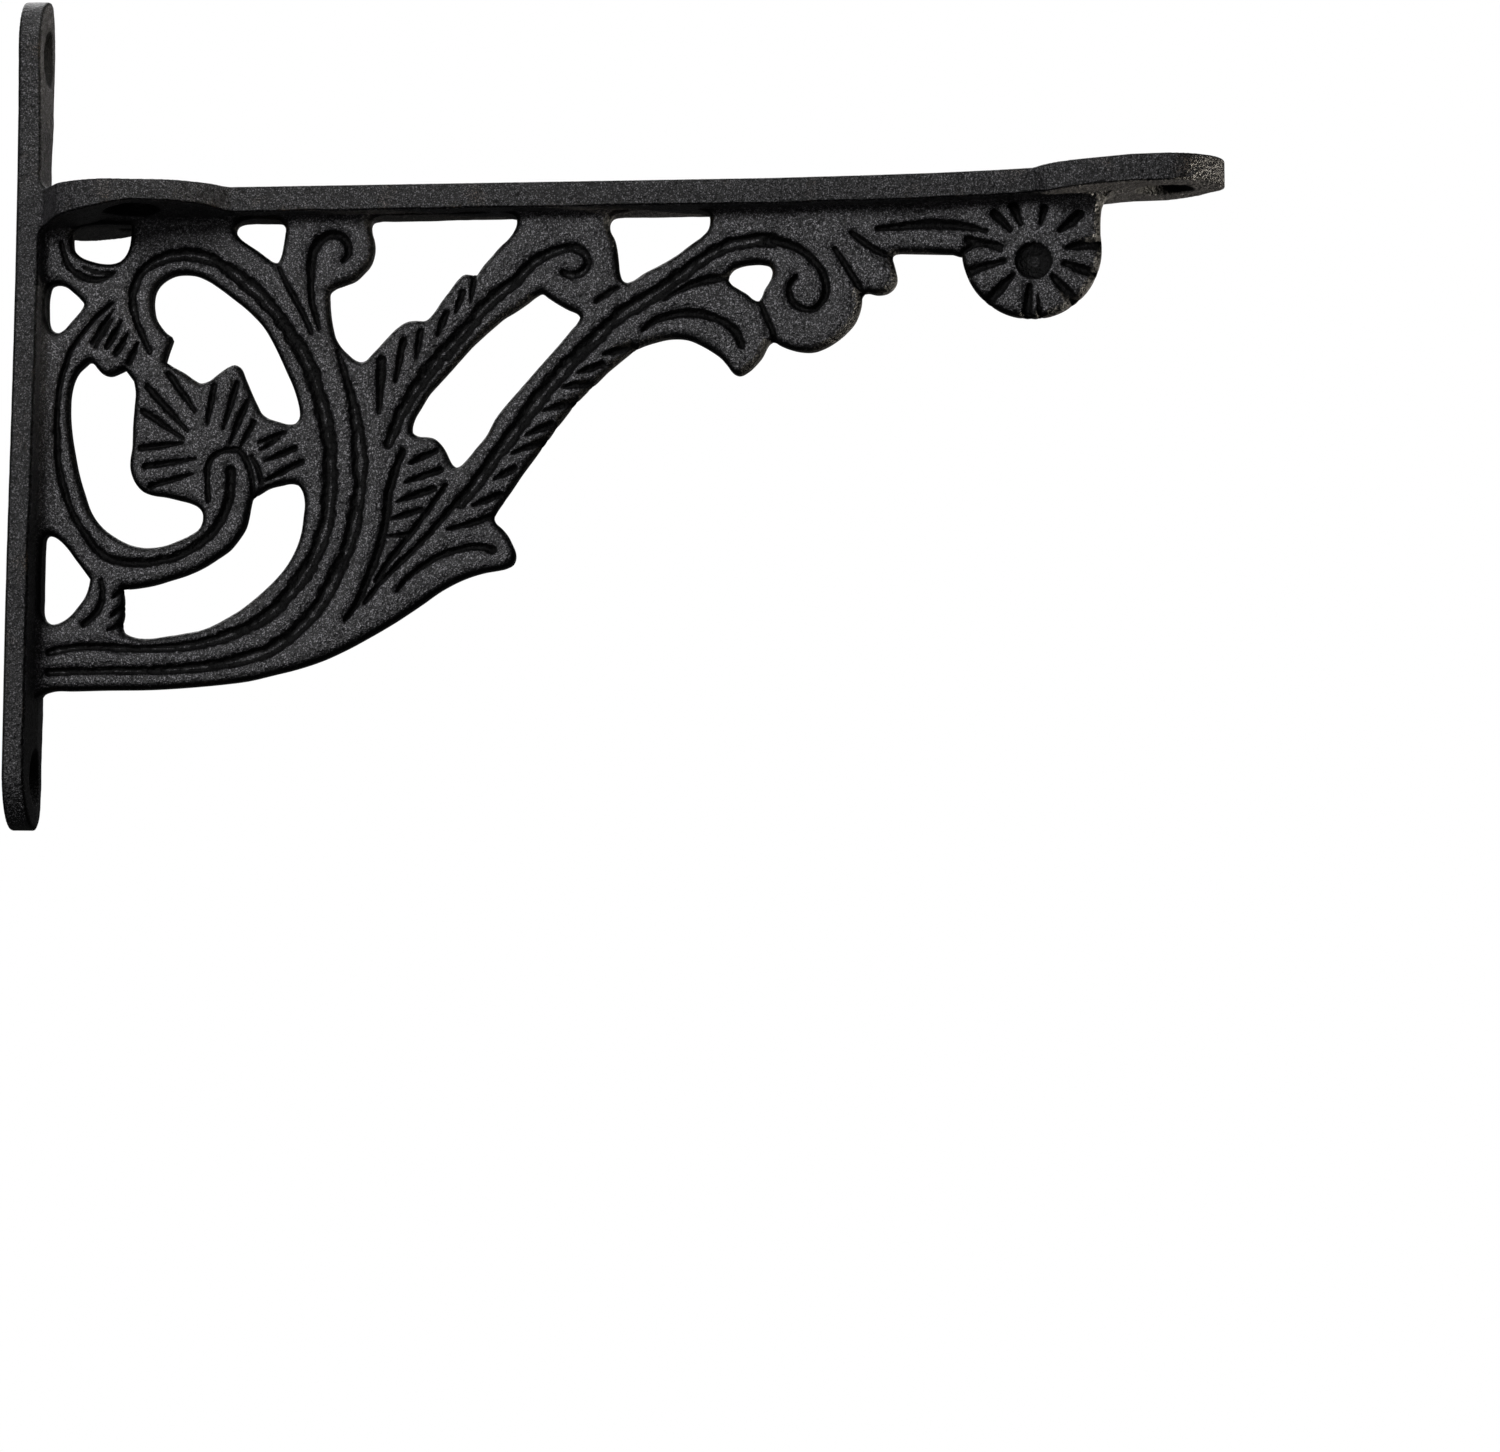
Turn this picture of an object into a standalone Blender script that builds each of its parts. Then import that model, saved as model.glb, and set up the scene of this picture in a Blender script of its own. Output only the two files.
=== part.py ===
"""Ornate cast iron shelf bracket, sand cast in one piece.

X runs out from the wall, Y across, Z up. X = 0 is the back of the wall plate, Y = 0 the parting plane
of the casting, and Z = 0 the height of the shelf seat where it meets the wall. The shelf plate rises
slightly towards its tip and bends up a little more in its outer third. Sizes are in millimetres times
MM, and lists of (x, z) points are in plain millimetres. A point with a third entry is a sharp corner; the
outline runs smoothly through the others.
"""

import math

import bmesh
import bpy
from mathutils import Matrix, Vector

MM = 0.001

# Wall plate: a narrow strip with a round ear and a countersunk hole at each end.
WALL_TOP = 41.0 * MM
WALL_BOTTOM = -132.5 * MM
WALL_MIDDLE_THICKNESS = 5.5 * MM
WALL_WAIST = 8.3 * MM
WALL_FOOT = 12.0 * MM
TOP_EAR_RADIUS = 10.0 * MM
BOTTOM_EAR_RADIUS = 12.3 * MM
TOP_HOLE_Z = 28.8 * MM
BOTTOM_HOLE_Z = -121.3 * MM
WALL_WAIST_FROM = -25
WALL_WAIST_TO = 11
WALL_FOOT_FROM = -90

# Shelf plate: a narrow arm with a wide two-hole lug at the wall and a round ear at the tip.
RISE = math.radians(1.0)
SHELF_MIDDLE_THICKNESS = 5.9 * MM
SHELF_WAIST = 8.3 * MM
WAIST_END = 210.0 * MM
LUG_HOLE_X = 24.5 * MM
LUG_HOLE_Y = 11.2 * MM
TIP_EAR_RADIUS = 13.5 * MM
TIP_EAR_X = 236.5 * MM
TIP_HOLE_X = 237.5 * MM
TIP_SHOULDER = ((212.0, 10.6), (216.0, 12.9), (222.0, 13.4), (229.0, 13.5))
TIP_LIFT = ((165.0, 0.0), (203.0, 0.85), (232.0, 3.0), (251.0, 3.3))
PLATE_DRAFT = math.tan(math.radians(4.2))
LUG_OUTLINE = ((1, 7.8, 1), (5.4, 8.6), (9.6, 16.8, 1), (12.2, 19.7), (15.5, 21.4), (20, 22),
               (25, 20.8), (31, 19.8), (36, 17.6), (40, 14.4), (43.2, 10.2), (44.7, 8.3, 1))
LUG_WEDGE = ((-2, -2), (27, -2), (27, -4.2), (8, -7.3), (-2, -8.6))
EAR_PAD = ((207, -2), (252, -2), (252, -5.1), (238, -5.7), (213, -5.7), (207, -5.0))

HOLE_DIAMETER = 6.2 * MM
SINK_DIAMETER = 12.2 * MM

# Web: the openwork scroll panel between the plates.
WEB_HALF = 3.2 * MM
OUTLINE_STEP = 2.8
GROOVE_STEP = 4.5
GROOVE_LIFT = 0.12
WEB_ENDS_X = 2.0
WEB_TOP_Z = -3.0
ROSETTE_CENTRE = (210.2, -10.9)
ROSETTE_RADIUS = 14.2
ROSETTE_FROM = 187
ROSETTE_TO = 382
DIMPLE_CENTRE = (210.7, -13.6)
DIMPLE_RADIUS = 3.9
DIMPLE_DEPTH = 1.6

# Lower edge of the web from the wall to the rosette.
LOWER_EDGE = (
    (WEB_ENDS_X, -104.4, 1), (6.2, -104.2), (8.6, -103.3), (19.2, -103.0), (29.2, -102.8),
    (39.2, -102.1), (49.2, -100.9), (59.3, -98.4), (69.3, -94.4), (79.4, -88.6), (89.4, -81.7),
    (94.6, -79.2), (98.6, -78.0), (102.3, -77.3), (104.0, -75.8), (103.4, -72.8), (101.3, -69.6),
    (99.5, -67.0, 1), (105.4, -57.6), (113.4, -46.5), (119.0, -39.8), (127.4, -32.4),
    (132.0, -30.3), (136.6, -29.4), (142.0, -30.7), (146.4, -33.5), (149.3, -36.9, 1),
    (150.8, -36.7), (153.4, -34.7), (155.2, -31.8), (157.1, -30.1, 1), (160.3, -31.5),
    (164.4, -32.1), (167.8, -31.2), (172.0, -28.2), (174.5, -24.5), (175.3, -20.2, 1),
    (178.4, -20.1), (181.4, -19.0), (182.2, -16.5), (181.3, -12.6, 1), (183.0, -11.5),
    (194.2, -11.7), (196.1, -12.6, 1),
)

# Openings. Those that reach the shelf plate or the wall plate end inside it.
OPENINGS = (
    # under the lug
    ((10.9, -3.0, 1), (23.4, -3.0, 1), (23.3, -9.4), (22.2, -12.8), (19.5, -14.5), (15.0, -14.0),
     (12.1, -12.6), (10.8, -10.2)),
    # against the wall, above the band
    ((4.8, -19.2, 1), (7.8, -18.4), (10.4, -19.1), (13.8, -22.8, 1), (12.3, -25.3), (9.7, -28.3),
     (8.0, -28.9), (4.8, -28.0, 1)),
    # left of the leaf
    ((15.0, -34.6, 1), (12.5, -37.0), (11.0, -40.8), (10.8, -45.5), (11.4, -51.3), (13.0, -58.6),
     (15.6, -66.3), (18.4, -69.8), (22.5, -72.4), (27.7, -73.8), (33.0, -72.8), (37.0, -71.0),
     (39.4, -68.2), (38.4, -64.9), (34.2, -63.4), (28.5, -62.3), (25.0, -59.2), (24.1, -56.0),
     (24.5, -48.3), (24.9, -41.0), (24.5, -38.8, 1), (22.4, -36.2, 1), (19.5, -37.4),
     (17.2, -36.5)),
    # right of the leaf
    ((29.2, -18.5), (32.4, -16.5), (36.8, -16.4), (42.2, -19.2), (47.0, -23.0), (51.3, -27.3),
     (54.7, -33.3), (57.8, -40.0), (59.2, -45.2), (58.4, -47.7), (56.2, -47.9), (52.3, -46.7),
     (50.0, -44.2), (48.3, -40.6), (46.4, -36.3), (44.6, -35.8), (42.3, -37.3), (39.2, -39.4),
     (36.7, -38.7), (34.5, -37.2), (30.9, -35.1, 1), (32.1, -30.0, 1), (29.6, -27.5),
     (28.0, -23.8), (28.0, -20.6)),
    # small wedge by the top curl
    ((44.9, -2.6, 1), (55.8, -2.6, 1), (55.6, -9.0), (54.5, -13.6), (53.3, -14.2), (49.7, -11.9),
     (46.2, -9.4), (45.0, -7.4)),
    # against the wall, below the band
    ((4.8, -70.9, 1), (7.9, -71.2), (11.0, -73.4), (16.2, -80.2, 1), (15.2, -84.0), (12.0, -88.2),
     (8.5, -89.9), (4.8, -88.9, 1)),
    # lower crescent
    ((22.7, -82.2, 1), (32.5, -80.1), (39.2, -77.5), (44.9, -73.6), (47.9, -69.3),
     (49.1, -63.5, 1), (52.6, -61.0), (57.6, -59.8), (59.8, -61.0), (60.6, -64.5), (60.2, -69.5),
     (58.3, -75.2), (55.0, -80.0), (49.3, -85.3), (42.3, -89.7), (36.0, -91.6), (28.5, -92.7),
     (24.2, -92.0), (22.8, -90.3), (23.1, -87.0)),
    # large middle gap under the arm
    ((72.8, -2.0, 1), (104.0, -1.6, 1), (103.3, -7.4), (100.3, -10.8), (95.7, -16.6, 1),
     (93.0, -16.5, 1), (90.0, -20.0), (85.0, -26.3, 1), (81.5, -26.5), (78.5, -28.5),
     (75.0, -32.3), (72.4, -34.9), (70.0, -34.3), (66.9, -31.6), (65.3, -27.8), (64.6, -22.4),
     (65.4, -19.3, 1), (69.4, -17.8), (72.7, -14.8), (73.8, -11.0), (73.2, -7.8)),
    # between the middle branch and the outer stem
    ((108.9, -20.1, 1), (112.0, -22.1), (116.9, -24.7), (113.3, -30.7), (108.0, -36.8),
     (102.7, -43.0), (98.0, -50.3), (94.0, -55.3), (91.9, -56.9), (90.0, -55.0), (88.0, -51.7),
     (85.7, -50.6), (82.7, -50.2, 1), (82.6, -46.9), (85.5, -41.5), (90.1, -36.2), (94.7, -31.0),
     (99.1, -26.9), (103.1, -24.0)),
    # sliver under the arm
    ((122.8, -1.2, 1), (144.0, -0.9, 1), (143.6, -7.1), (140.0, -10.2), (133.7, -14.5),
     (127.7, -18.0), (126.2, -18.3), (125.1, -17.1), (124.6, -13.5), (124.1, -10.5),
     (122.9, -7.3)),
    # beside the spiral
    ((147.5, -17.2), (148.8, -15.1), (151.5, -14.1), (155.3, -13.9), (156.9, -15.3),
     (156.2, -18.2), (154.8, -21.2), (153.6, -22.1), (151.3, -20.6), (148.5, -18.9)),
)

# Grooves that follow the scrolls: the width at the start, the middle and the end, then centre points.
SCROLL_GROOVES = (
    # inner line of the trunk, hooked over at its top
    ((0.8, 2.4, 1.2), (27.8, -33.0), (24.7, -26.0), (24.2, -19.5), (29.0, -13.7), (37.0, -12.7),
     (45.0, -16.5), (53.8, -24.7), (60.0, -34.0), (64.8, -48.5), (65.8, -61.0), (62.8, -75.0),
     (54.0, -87.0), (46.0, -91.6), (35.0, -94.4), (22.0, -94.6), (9.0, -95.4)),
    # outer line of the trunk
    ((0.8, 2.4, 1.2), (66.8, -32.5), (69.6, -41.5), (71.9, -56.0), (70.6, -70.0), (65.0, -83.8),
     (54.5, -94.5), (40.0, -98.4), (27.0, -99.3), (9.0, -99.7)),
    # curl at the top of the trunk
    ((0.8, 2.0, 1.6), (63.0, -28.0), (61.0, -19.0), (61.2, -13.0), (64.2, -8.6), (68.4, -9.9),
     (67.8, -13.7)),
    # middle branch and its curl
    ((1.6, 2.2, 1.4), (77.8, -52.0), (83.3, -40.3), (91.0, -30.8), (101.0, -20.0), (108.5, -13.2),
     (115.0, -11.0), (118.5, -14.2), (113.5, -16.2)),
    # outer stem, arm side
    ((1.8, 2.4, 2.0), (93.0, -64.3), (102.0, -51.8), (111.0, -39.7), (120.0, -30.2),
     (133.0, -20.2), (145.0, -11.7)),
    # band on the wall side of the leaf
    ((0.8, 1.5, 2.0), (19.7, -22.7), (11.3, -32.5), (8.7, -44.0), (10.0, -60.5), (15.0, -71.0),
     (23.5, -76.8), (35.0, -75.2), (43.3, -67.5), (44.9, -57.5)),
    # below the gap under the lug
    ((0.8, 1.3, 0.8), (8.9, -11.0), (10.3, -14.8), (15.0, -17.8), (20.0, -16.3)),
    # both sides of the feather leaf
    ((1.4, 1.8, 0.8), (80.6, -53.5), (77.5, -67.0), (75.0, -77.0), (69.3, -88.7)),
    ((1.0, 1.3, 0.8), (89.8, -60.5), (82.0, -71.5), (75.5, -80.5)),
    ((1.0, 1.3, 0.8), (95.0, -60.3), (83.5, -73.8), (73.3, -85.0)),
    # bottom leaf
    ((1.6, 1.2, 0.8), (99.3, -73.8), (92.5, -74.0), (85.0, -77.5), (80.0, -82.5)),
    # foot of the band, between two openings
    ((1.0, 1.5, 1.0), (18.4, -80.5), (18.6, -85.5), (15.0, -89.7)),
    # hanging leaf
    ((0.8, 1.9, 1.2), (130.0, -28.2), (137.0, -24.8), (144.5, -25.3), (150.6, -31.0)),
    # leaf over the spiral
    ((0.8, 1.4, 1.4), (134.5, -21.7), (142.0, -18.0), (146.6, -17.1)),
    ((0.8, 1.2, 1.2), (154.5, -22.5), (156.0, -26.0), (157.4, -29.4)),
    # lumps and neck beside the rosette
    ((1.0, 1.5, 1.2), (169.5, -11.0), (173.3, -16.7), (175.1, -20.0)),
    ((1.0, 1.5, 1.2), (173.0, -7.7), (178.7, -11.7), (180.9, -12.8)),
    ((1.0, 2.0, 1.2), (178.5, -6.9), (190.0, -6.1), (201.0, -7.5)),
)

# Rows of short cuts: the first cut's ends, the last cut's ends, how many in all, and the width.
CUT_ROWS = (
    # across the feather leaf
    ((88.6, -54.8), (82.0, -57.2), (82.6, -70.2), (78.0, -71.6), 4, 1.3),
    # notches up the outer stem
    ((101.0, -62.5), (95.5, -64.7), (126.6, -31.2), (121.0, -33.0), 8, 1.3),
    # lobes along the middle branch
    ((76.0, -34.5), (75.7, -44.0), (92.6, -20.6), (91.2, -24.6), 4, 1.4),
    # left of the leaf, and right of it
    ((20.0, -24.4), (15.7, -31.0), (24.8, -31.0), (23.0, -35.0), 4, 1.1),
    ((51.0, -51.8), (56.0, -49.8), (52.3, -59.5), (59.2, -56.0), 3, 1.1),
    # foot of the band
    ((20.6, -84.6), (22.9, -82.8), (20.0, -91.2), (22.9, -89.8), 3, 1.1),
)

# The spiral winds inwards in even turns: its centre, its first radius and how much that shrinks.
SPIRAL_CENTRE = (164.0, -18.6)
SPIRAL_RADIUS = 9.6
SPIRAL_SHRINK = 6.4
SPIRAL_START = 150
SPIRAL_TURN = 24
SPIRAL_STEPS = 18
SPIRAL_WIDTHS = (2.0, 1.6, 1.1)

# Leaf veins fan out from its middle: how far out and how far in they run, and at which angles.
LEAF_CENTRE = (38.5, -51.5)
LEAF_IN = 4.0
LEAF_OUT = 11.5
LEAF_WIDTHS = (1.3, 1.0, 0.6)
LEAF_ANGLES = (-38, -18, 0, 20, 40, 62, 88, 112, 134, 156, 178, 200, 222)

# Rosette cuts run from a small radius out past the rim, at these angles.
ROSETTE_CUTS_IN = 6.2
ROSETTE_CUTS_PAST = 1.0
ROSETTE_CUT_WIDTHS = (0.8, 1.1, 1.5)
ROSETTE_ANGLES = (5, 36, 149, 180, 199, 228, 272, 309, 338)

PAINT_COLOUR = (0.012, 0.0125, 0.013, 1.0)
PAINT_ROUGHNESS = 0.42

UPRIGHT = Matrix.Rotation(math.radians(90), 4, "X")
FACING_WALL = Matrix(((0, 0, 1, 0), (1, 0, 0, 0), (0, 1, 0, 0), (0, 0, 0, 1)))


def smooth(points, step, closed=True):
    """Even steps along a curve through the points, with straight tangents at sharp corners and ends."""
    at = [Vector(point[:2]) for point in points]
    count = len(at)
    sharp = [len(point) > 2 for point in points]
    if not closed:
        sharp[0] = sharp[-1] = True
    directions = []
    for i in range(count):
        before, after = at[i] - at[i - 1], at[(i + 1) % count] - at[i]
        mixed = before.normalized() * after.length + after.normalized() * before.length
        directions.append(mixed / (before.length + after.length))
    line = []
    for i in range(count if closed else count - 1):
        j = (i + 1) % count
        chord = at[j] - at[i]
        out = chord if sharp[i] else directions[i] * chord.length
        home = chord if sharp[j] else directions[j] * chord.length
        steps = max(1, round(chord.length / step))
        for k in range(steps):
            t = k / steps
            line.append(
                at[i] * (2 * t**3 - 3 * t**2 + 1) + out * (t**3 - 2 * t**2 + t)
                + at[j] * (3 * t**2 - 2 * t**3) + home * (t**3 - t**2)
            )
    if not closed:
        line.append(at[-1])
    return line


def arc(centre, radius, start, end, step):
    """Points on an arc, its angles in degrees, both ends included."""
    steps = max(1, round(abs(math.radians(end - start)) * radius / step))
    angles = [math.radians(start + (end - start) * k / steps) for k in range(steps + 1)]
    return [Vector((centre[0] + radius * math.cos(a), centre[1] + radius * math.sin(a)))
            for a in angles]


def mesh_of(curve, name, matrix, collection):
    """Turns a curve into a welded mesh object at the same place, and removes the curve."""
    maker = bpy.data.objects.new(name + "_curve", curve)
    maker.matrix_world = matrix
    bpy.context.scene.collection.objects.link(maker)
    bpy.context.view_layer.update()
    graph = bpy.context.evaluated_depsgraph_get()
    mesh = bpy.data.meshes.new_from_object(maker.evaluated_get(graph))
    mesh.name = name
    work = bmesh.new()
    work.from_mesh(mesh)
    bmesh.ops.remove_doubles(work, verts=work.verts, dist=1e-7)
    bmesh.ops.recalc_face_normals(work, faces=work.faces)
    work.to_mesh(mesh)
    work.free()
    made = bpy.data.objects.new(name, mesh)
    made.matrix_world = maker.matrix_world.copy()
    collection.objects.link(made)
    bpy.data.objects.remove(maker)
    bpy.data.curves.remove(curve)
    return made


def flat_body(name, loops, half, matrix, collection):
    """A plate with this outline and these holes, half its thickness to each side of the curve's plane."""
    curve = bpy.data.curves.new(name, "CURVE")
    curve.dimensions = "2D"
    curve.fill_mode = "BOTH"
    curve.extrude = half
    for loop in loops:
        spline = curve.splines.new("POLY")
        spline.points.add(len(loop) - 1)
        for point, (x, y) in zip(spline.points, loop):
            point.co = (x * MM, y * MM, 0, 1)
        spline.use_cyclic_u = True
    return mesh_of(curve, name, matrix, collection)


def groove(name, line, widths, side, collection):
    """A four-sided tapering bar along the line, sunk half way into one face of the web."""
    curve = bpy.data.curves.new(name, "CURVE")
    curve.dimensions = "2D"
    curve.bevel_depth = 1.0 * MM
    curve.bevel_resolution = 0
    curve.use_fill_caps = True
    spline = curve.splines.new("POLY")
    spline.points.add(len(line) - 1)
    for k, (point, (x, y)) in enumerate(zip(spline.points, line)):
        t = 2 * k / (len(line) - 1)
        early, late = (widths[0], widths[1]) if t < 1 else (widths[1], widths[2])
        point.co = (x * MM, y * MM, 0, 1)
        point.radius = (early + (late - early) * (t % 1 if t < 2 else 1)) / 2 + GROOVE_LIFT
    face = Matrix.Translation((0, side * (WEB_HALF + GROOVE_LIFT * MM), 0)) @ UPRIGHT
    return mesh_of(curve, name, face, collection)


def cone(name, matrix, near_radius, far_radius, length, collection, sides=24):
    """A closed cone or cylinder from the matrix's origin along its Z."""
    mesh = bpy.data.meshes.new(name)
    work = bmesh.new()
    bmesh.ops.create_cone(
        work, cap_ends=True, segments=sides, radius1=near_radius, radius2=far_radius,
        depth=length, matrix=matrix @ Matrix.Translation((0, 0, length / 2)))
    for face in work.faces:
        face.smooth = len(face.verts) == 4
    work.to_mesh(mesh)
    work.free()
    made = bpy.data.objects.new(name, mesh)
    collection.objects.link(made)
    return made


def boolean(target, other, operation):
    """Adds an exact Boolean with an object or with all of a collection."""
    modifier = target.modifiers.new(f"{operation.lower()}_{other.name}", "BOOLEAN")
    modifier.solver = "EXACT"
    modifier.operation = operation
    if isinstance(other, bpy.types.Collection):
        modifier.operand_type = "COLLECTION"
        modifier.collection = other
    else:
        modifier.object = other


def screw_hole(name, centre, inward, collection):
    """Cutters for a hole through a plate whose countersunk mouth is at the centre."""
    turn = inward.to_track_quat("Z", "Y").to_matrix().to_4x4()
    seat = Matrix.Translation(centre) @ turn
    drop = (SINK_DIAMETER - HOLE_DIAMETER) / 2
    over = 0.6 * MM
    back = Matrix.Translation((0, 0, -over))
    cone(name + "_drill", seat @ back, HOLE_DIAMETER / 2, HOLE_DIAMETER / 2, 14 * MM, collection)
    cone(name + "_sink", seat @ back, SINK_DIAMETER / 2 + over, HOLE_DIAMETER / 2 - 0.1 * MM,
         drop + over + 0.1 * MM, collection)


def wall_plate_body(helpers):
    """The wall plate's outline cut to its drafted thickness."""
    sizes = [value / MM for value in (WALL_WAIST, WALL_FOOT, TOP_EAR_RADIUS, BOTTOM_EAR_RADIUS)]
    waist, foot, top_radius, bottom_radius = sizes
    top_centre = WALL_TOP / MM - top_radius
    bottom_centre = WALL_BOTTOM / MM + bottom_radius
    top = [tuple(p) for p in arc((0, top_centre), top_radius, 0, 180, 2.6)]
    bottom = [tuple(p) for p in arc((0, bottom_centre), bottom_radius, 180, 360, 2.6)]
    shoulder = WALL_WAIST_TO + top_radius + 1
    swell = (WALL_WAIST_FROM + 2 * WALL_FOOT_FROM) / 3
    left = [(-top_radius + 0.3, shoulder), (-waist, WALL_WAIST_TO, 1),
            (-waist, WALL_WAIST_FROM, 1), (-foot + 0.6, swell), (-foot, WALL_FOOT_FROM)]
    right = [(-x, z, *rest) for x, z, *rest in reversed(left)]
    outline = smooth(top + left + bottom + right, 12)
    plate = flat_body("wall_plate", [outline], 10 * MM, FACING_WALL, helpers)
    reach = 20 * MM
    slope = (WALL_MIDDLE_THICKNESS - reach * PLATE_DRAFT) / MM
    middle = WALL_MIDDLE_THICKNESS / MM
    section = [(0, -20), (slope, -20), (middle, 0), (slope, 20), (0, 20)]
    depth = Matrix.Translation((0, 0, (WALL_TOP + WALL_BOTTOM) / 2))
    drafted = flat_body("wall_plate_section", [section], 100 * MM, depth, helpers)
    boolean(plate, drafted, "INTERSECT")
    return plate


def lift(x):
    """How far the arm has bent up from its straight line at this place, and the slope of the bend."""
    for (start, low), (end, high) in zip(TIP_LIFT, TIP_LIFT[1:]):
        slope = (high - low) / (end - start)
        if start * MM <= x <= end * MM:
            return low * MM + slope * (x - start * MM), slope
    return 0.0, 0.0


def bent_up(plate, collection):
    """The plate as a plain mesh, creased across at each station of the lift and bent up beyond it."""
    bpy.context.view_layer.update()
    graph = bpy.context.evaluated_depsgraph_get()
    mesh = bpy.data.meshes.new_from_object(plate.evaluated_get(graph))
    mesh.transform(plate.matrix_world)
    work = bmesh.new()
    work.from_mesh(mesh)
    for crease, _ in TIP_LIFT[:-1]:
        bmesh.ops.bisect_plane(work, geom=[*work.verts, *work.edges, *work.faces], dist=1e-7,
                               plane_co=(crease * MM, 0, 0), plane_no=(1, 0, 0))
    for vert in work.verts:
        vert.co.z += lift(vert.co.x)[0]
    work.to_mesh(mesh)
    work.free()
    bent = bpy.data.objects.new(plate.name + "_bent", mesh)
    collection.objects.link(bent)
    return bent


def shelf_plate_body(helpers):
    """The shelf plate cut to its drafted thickness, with its wedge and pad, then raised and bent."""
    rise = Matrix.Rotation(-RISE, 4, "Y")
    waist_end = WAIST_END / MM
    near = [tuple(p) for p in smooth(LUG_OUTLINE, 3, closed=False)]
    near += [(waist_end, SHELF_WAIST / MM), *TIP_SHOULDER]
    tip = arc((TIP_EAR_X / MM, 0), TIP_EAR_RADIUS / MM, 90, 0, 2.8)
    near += [tuple(p) for p in tip]
    far = [(x, -y) for x, y in reversed(near[:-1])]
    plate = flat_body("shelf_plate", [near + far], 12 * MM, rise, helpers)
    edge = -(SHELF_MIDDLE_THICKNESS - 25 * MM * PLATE_DRAFT) / MM
    section = [(-25, 0), (-25, edge), (0, -SHELF_MIDDLE_THICKNESS / MM), (25, edge), (25, 0)]
    drafted = flat_body("shelf_plate_section", [section], 150 * MM,
                        rise @ Matrix.Translation((0.13, 0, 0)) @ FACING_WALL, helpers)
    thicker = flat_body("lug_wedge_and_ear_pad", [LUG_WEDGE, EAR_PAD], 30 * MM, rise @ UPRIGHT,
                        helpers)
    boolean(drafted, thicker, "UNION")
    boolean(plate, drafted, "INTERSECT")
    bent = bent_up(plate, helpers)
    for spent in (plate, drafted, thicker):
        bpy.data.objects.remove(spent)
    return bent


def web_body(collection):
    """The scroll panel with its openings, before any carving."""
    rosette = arc(ROSETTE_CENTRE, ROSETTE_RADIUS, ROSETTE_FROM, ROSETTE_TO, 2.4)
    lower = smooth(LOWER_EDGE, OUTLINE_STEP, closed=False)
    end = rosette[-1][0] + 2.4
    top = [end, *(x for x, _ in reversed(TIP_LIFT) if x < end), WEB_ENDS_X]
    close = [Vector((x, WEB_TOP_Z + x * math.tan(RISE) + lift(x * MM)[0] / MM)) for x in top]
    loops = [lower + rosette + close]
    loops += [smooth(opening, OUTLINE_STEP) for opening in OPENINGS]
    return flat_body("bracket_casting", loops, WEB_HALF, UPRIGHT, collection)


def carve(cutters):
    """Every groove of one face, then the same on the other."""
    strokes = [(smooth(line, GROOVE_STEP, closed=False), widths)
               for widths, *line in SCROLL_GROOVES]
    spiral = []
    for k in range(SPIRAL_STEPS + 1):
        angle = SPIRAL_START - SPIRAL_TURN * k
        radius = SPIRAL_RADIUS - SPIRAL_SHRINK * k / SPIRAL_STEPS
        spiral += arc(SPIRAL_CENTRE, radius, angle, angle, 1)[:1]
    strokes.append((spiral, SPIRAL_WIDTHS))
    for start, end, last_start, last_end, count, width in CUT_ROWS:
        for k in range(count):
            t = k / (count - 1)
            head = Vector(start).lerp(Vector(last_start), t)
            tail = Vector(end).lerp(Vector(last_end), t)
            strokes.append(([head, tail], (width, width, width * 0.5)))
    for angle in LEAF_ANGLES:
        out = Vector((math.cos(math.radians(angle)), math.sin(math.radians(angle))))
        centre = Vector(LEAF_CENTRE)
        strokes.append(([centre + out * LEAF_OUT, centre + out * LEAF_IN], LEAF_WIDTHS))
    for angle in ROSETTE_ANGLES:
        out = Vector((math.cos(math.radians(angle)), math.sin(math.radians(angle))))
        centre = Vector(ROSETTE_CENTRE)
        rim = centre + out * (ROSETTE_RADIUS + ROSETTE_CUTS_PAST)
        strokes.append(([centre + out * ROSETTE_CUTS_IN, rim], ROSETTE_CUT_WIDTHS))
    for side in (-1, 1):
        face = "near" if side < 0 else "far"
        for number, (line, widths) in enumerate(strokes):
            groove(f"groove_{face}_{number:02d}", line, widths, side, cutters)
        lip = side * (WEB_HALF + 0.4 * MM)
        seat = Matrix.Translation((DIMPLE_CENTRE[0] * MM, lip, DIMPLE_CENTRE[1] * MM))
        turn = Vector((0, -side, 0)).to_track_quat("Z", "Y").to_matrix().to_4x4()
        cone(f"dimple_{face}", seat @ turn, (DIMPLE_RADIUS + 0.6) * MM, 1.4 * MM,
             (DIMPLE_DEPTH + 0.4) * MM, cutters, 16)


def drill(cutters):
    """Five countersunk holes: two in the wall plate, two in the lug and one in the tip ear."""
    front = WALL_MIDDLE_THICKNESS
    for name, height in (("wall_top", TOP_HOLE_Z), ("wall_bottom", BOTTOM_HOLE_Z)):
        screw_hole(name, Vector((front, 0, height)), Vector((-1, 0, 0)), cutters)
    rise = Matrix.Rotation(-RISE, 4, "Y")
    places = (("lug_near", LUG_HOLE_X, -LUG_HOLE_Y), ("lug_far", LUG_HOLE_X, LUG_HOLE_Y),
              ("tip", TIP_HOLE_X, 0.0))
    for name, x, y in places:
        under = -(SHELF_MIDDLE_THICKNESS - abs(y) * PLATE_DRAFT)
        mouth = rise @ Vector((x, y, under))
        height, slope = lift(mouth.x)
        mouth.z += height
        up = Vector((-math.tan(RISE) - slope, 0, 1)).normalized()
        screw_hole(name, mouth, up, cutters)


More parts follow.
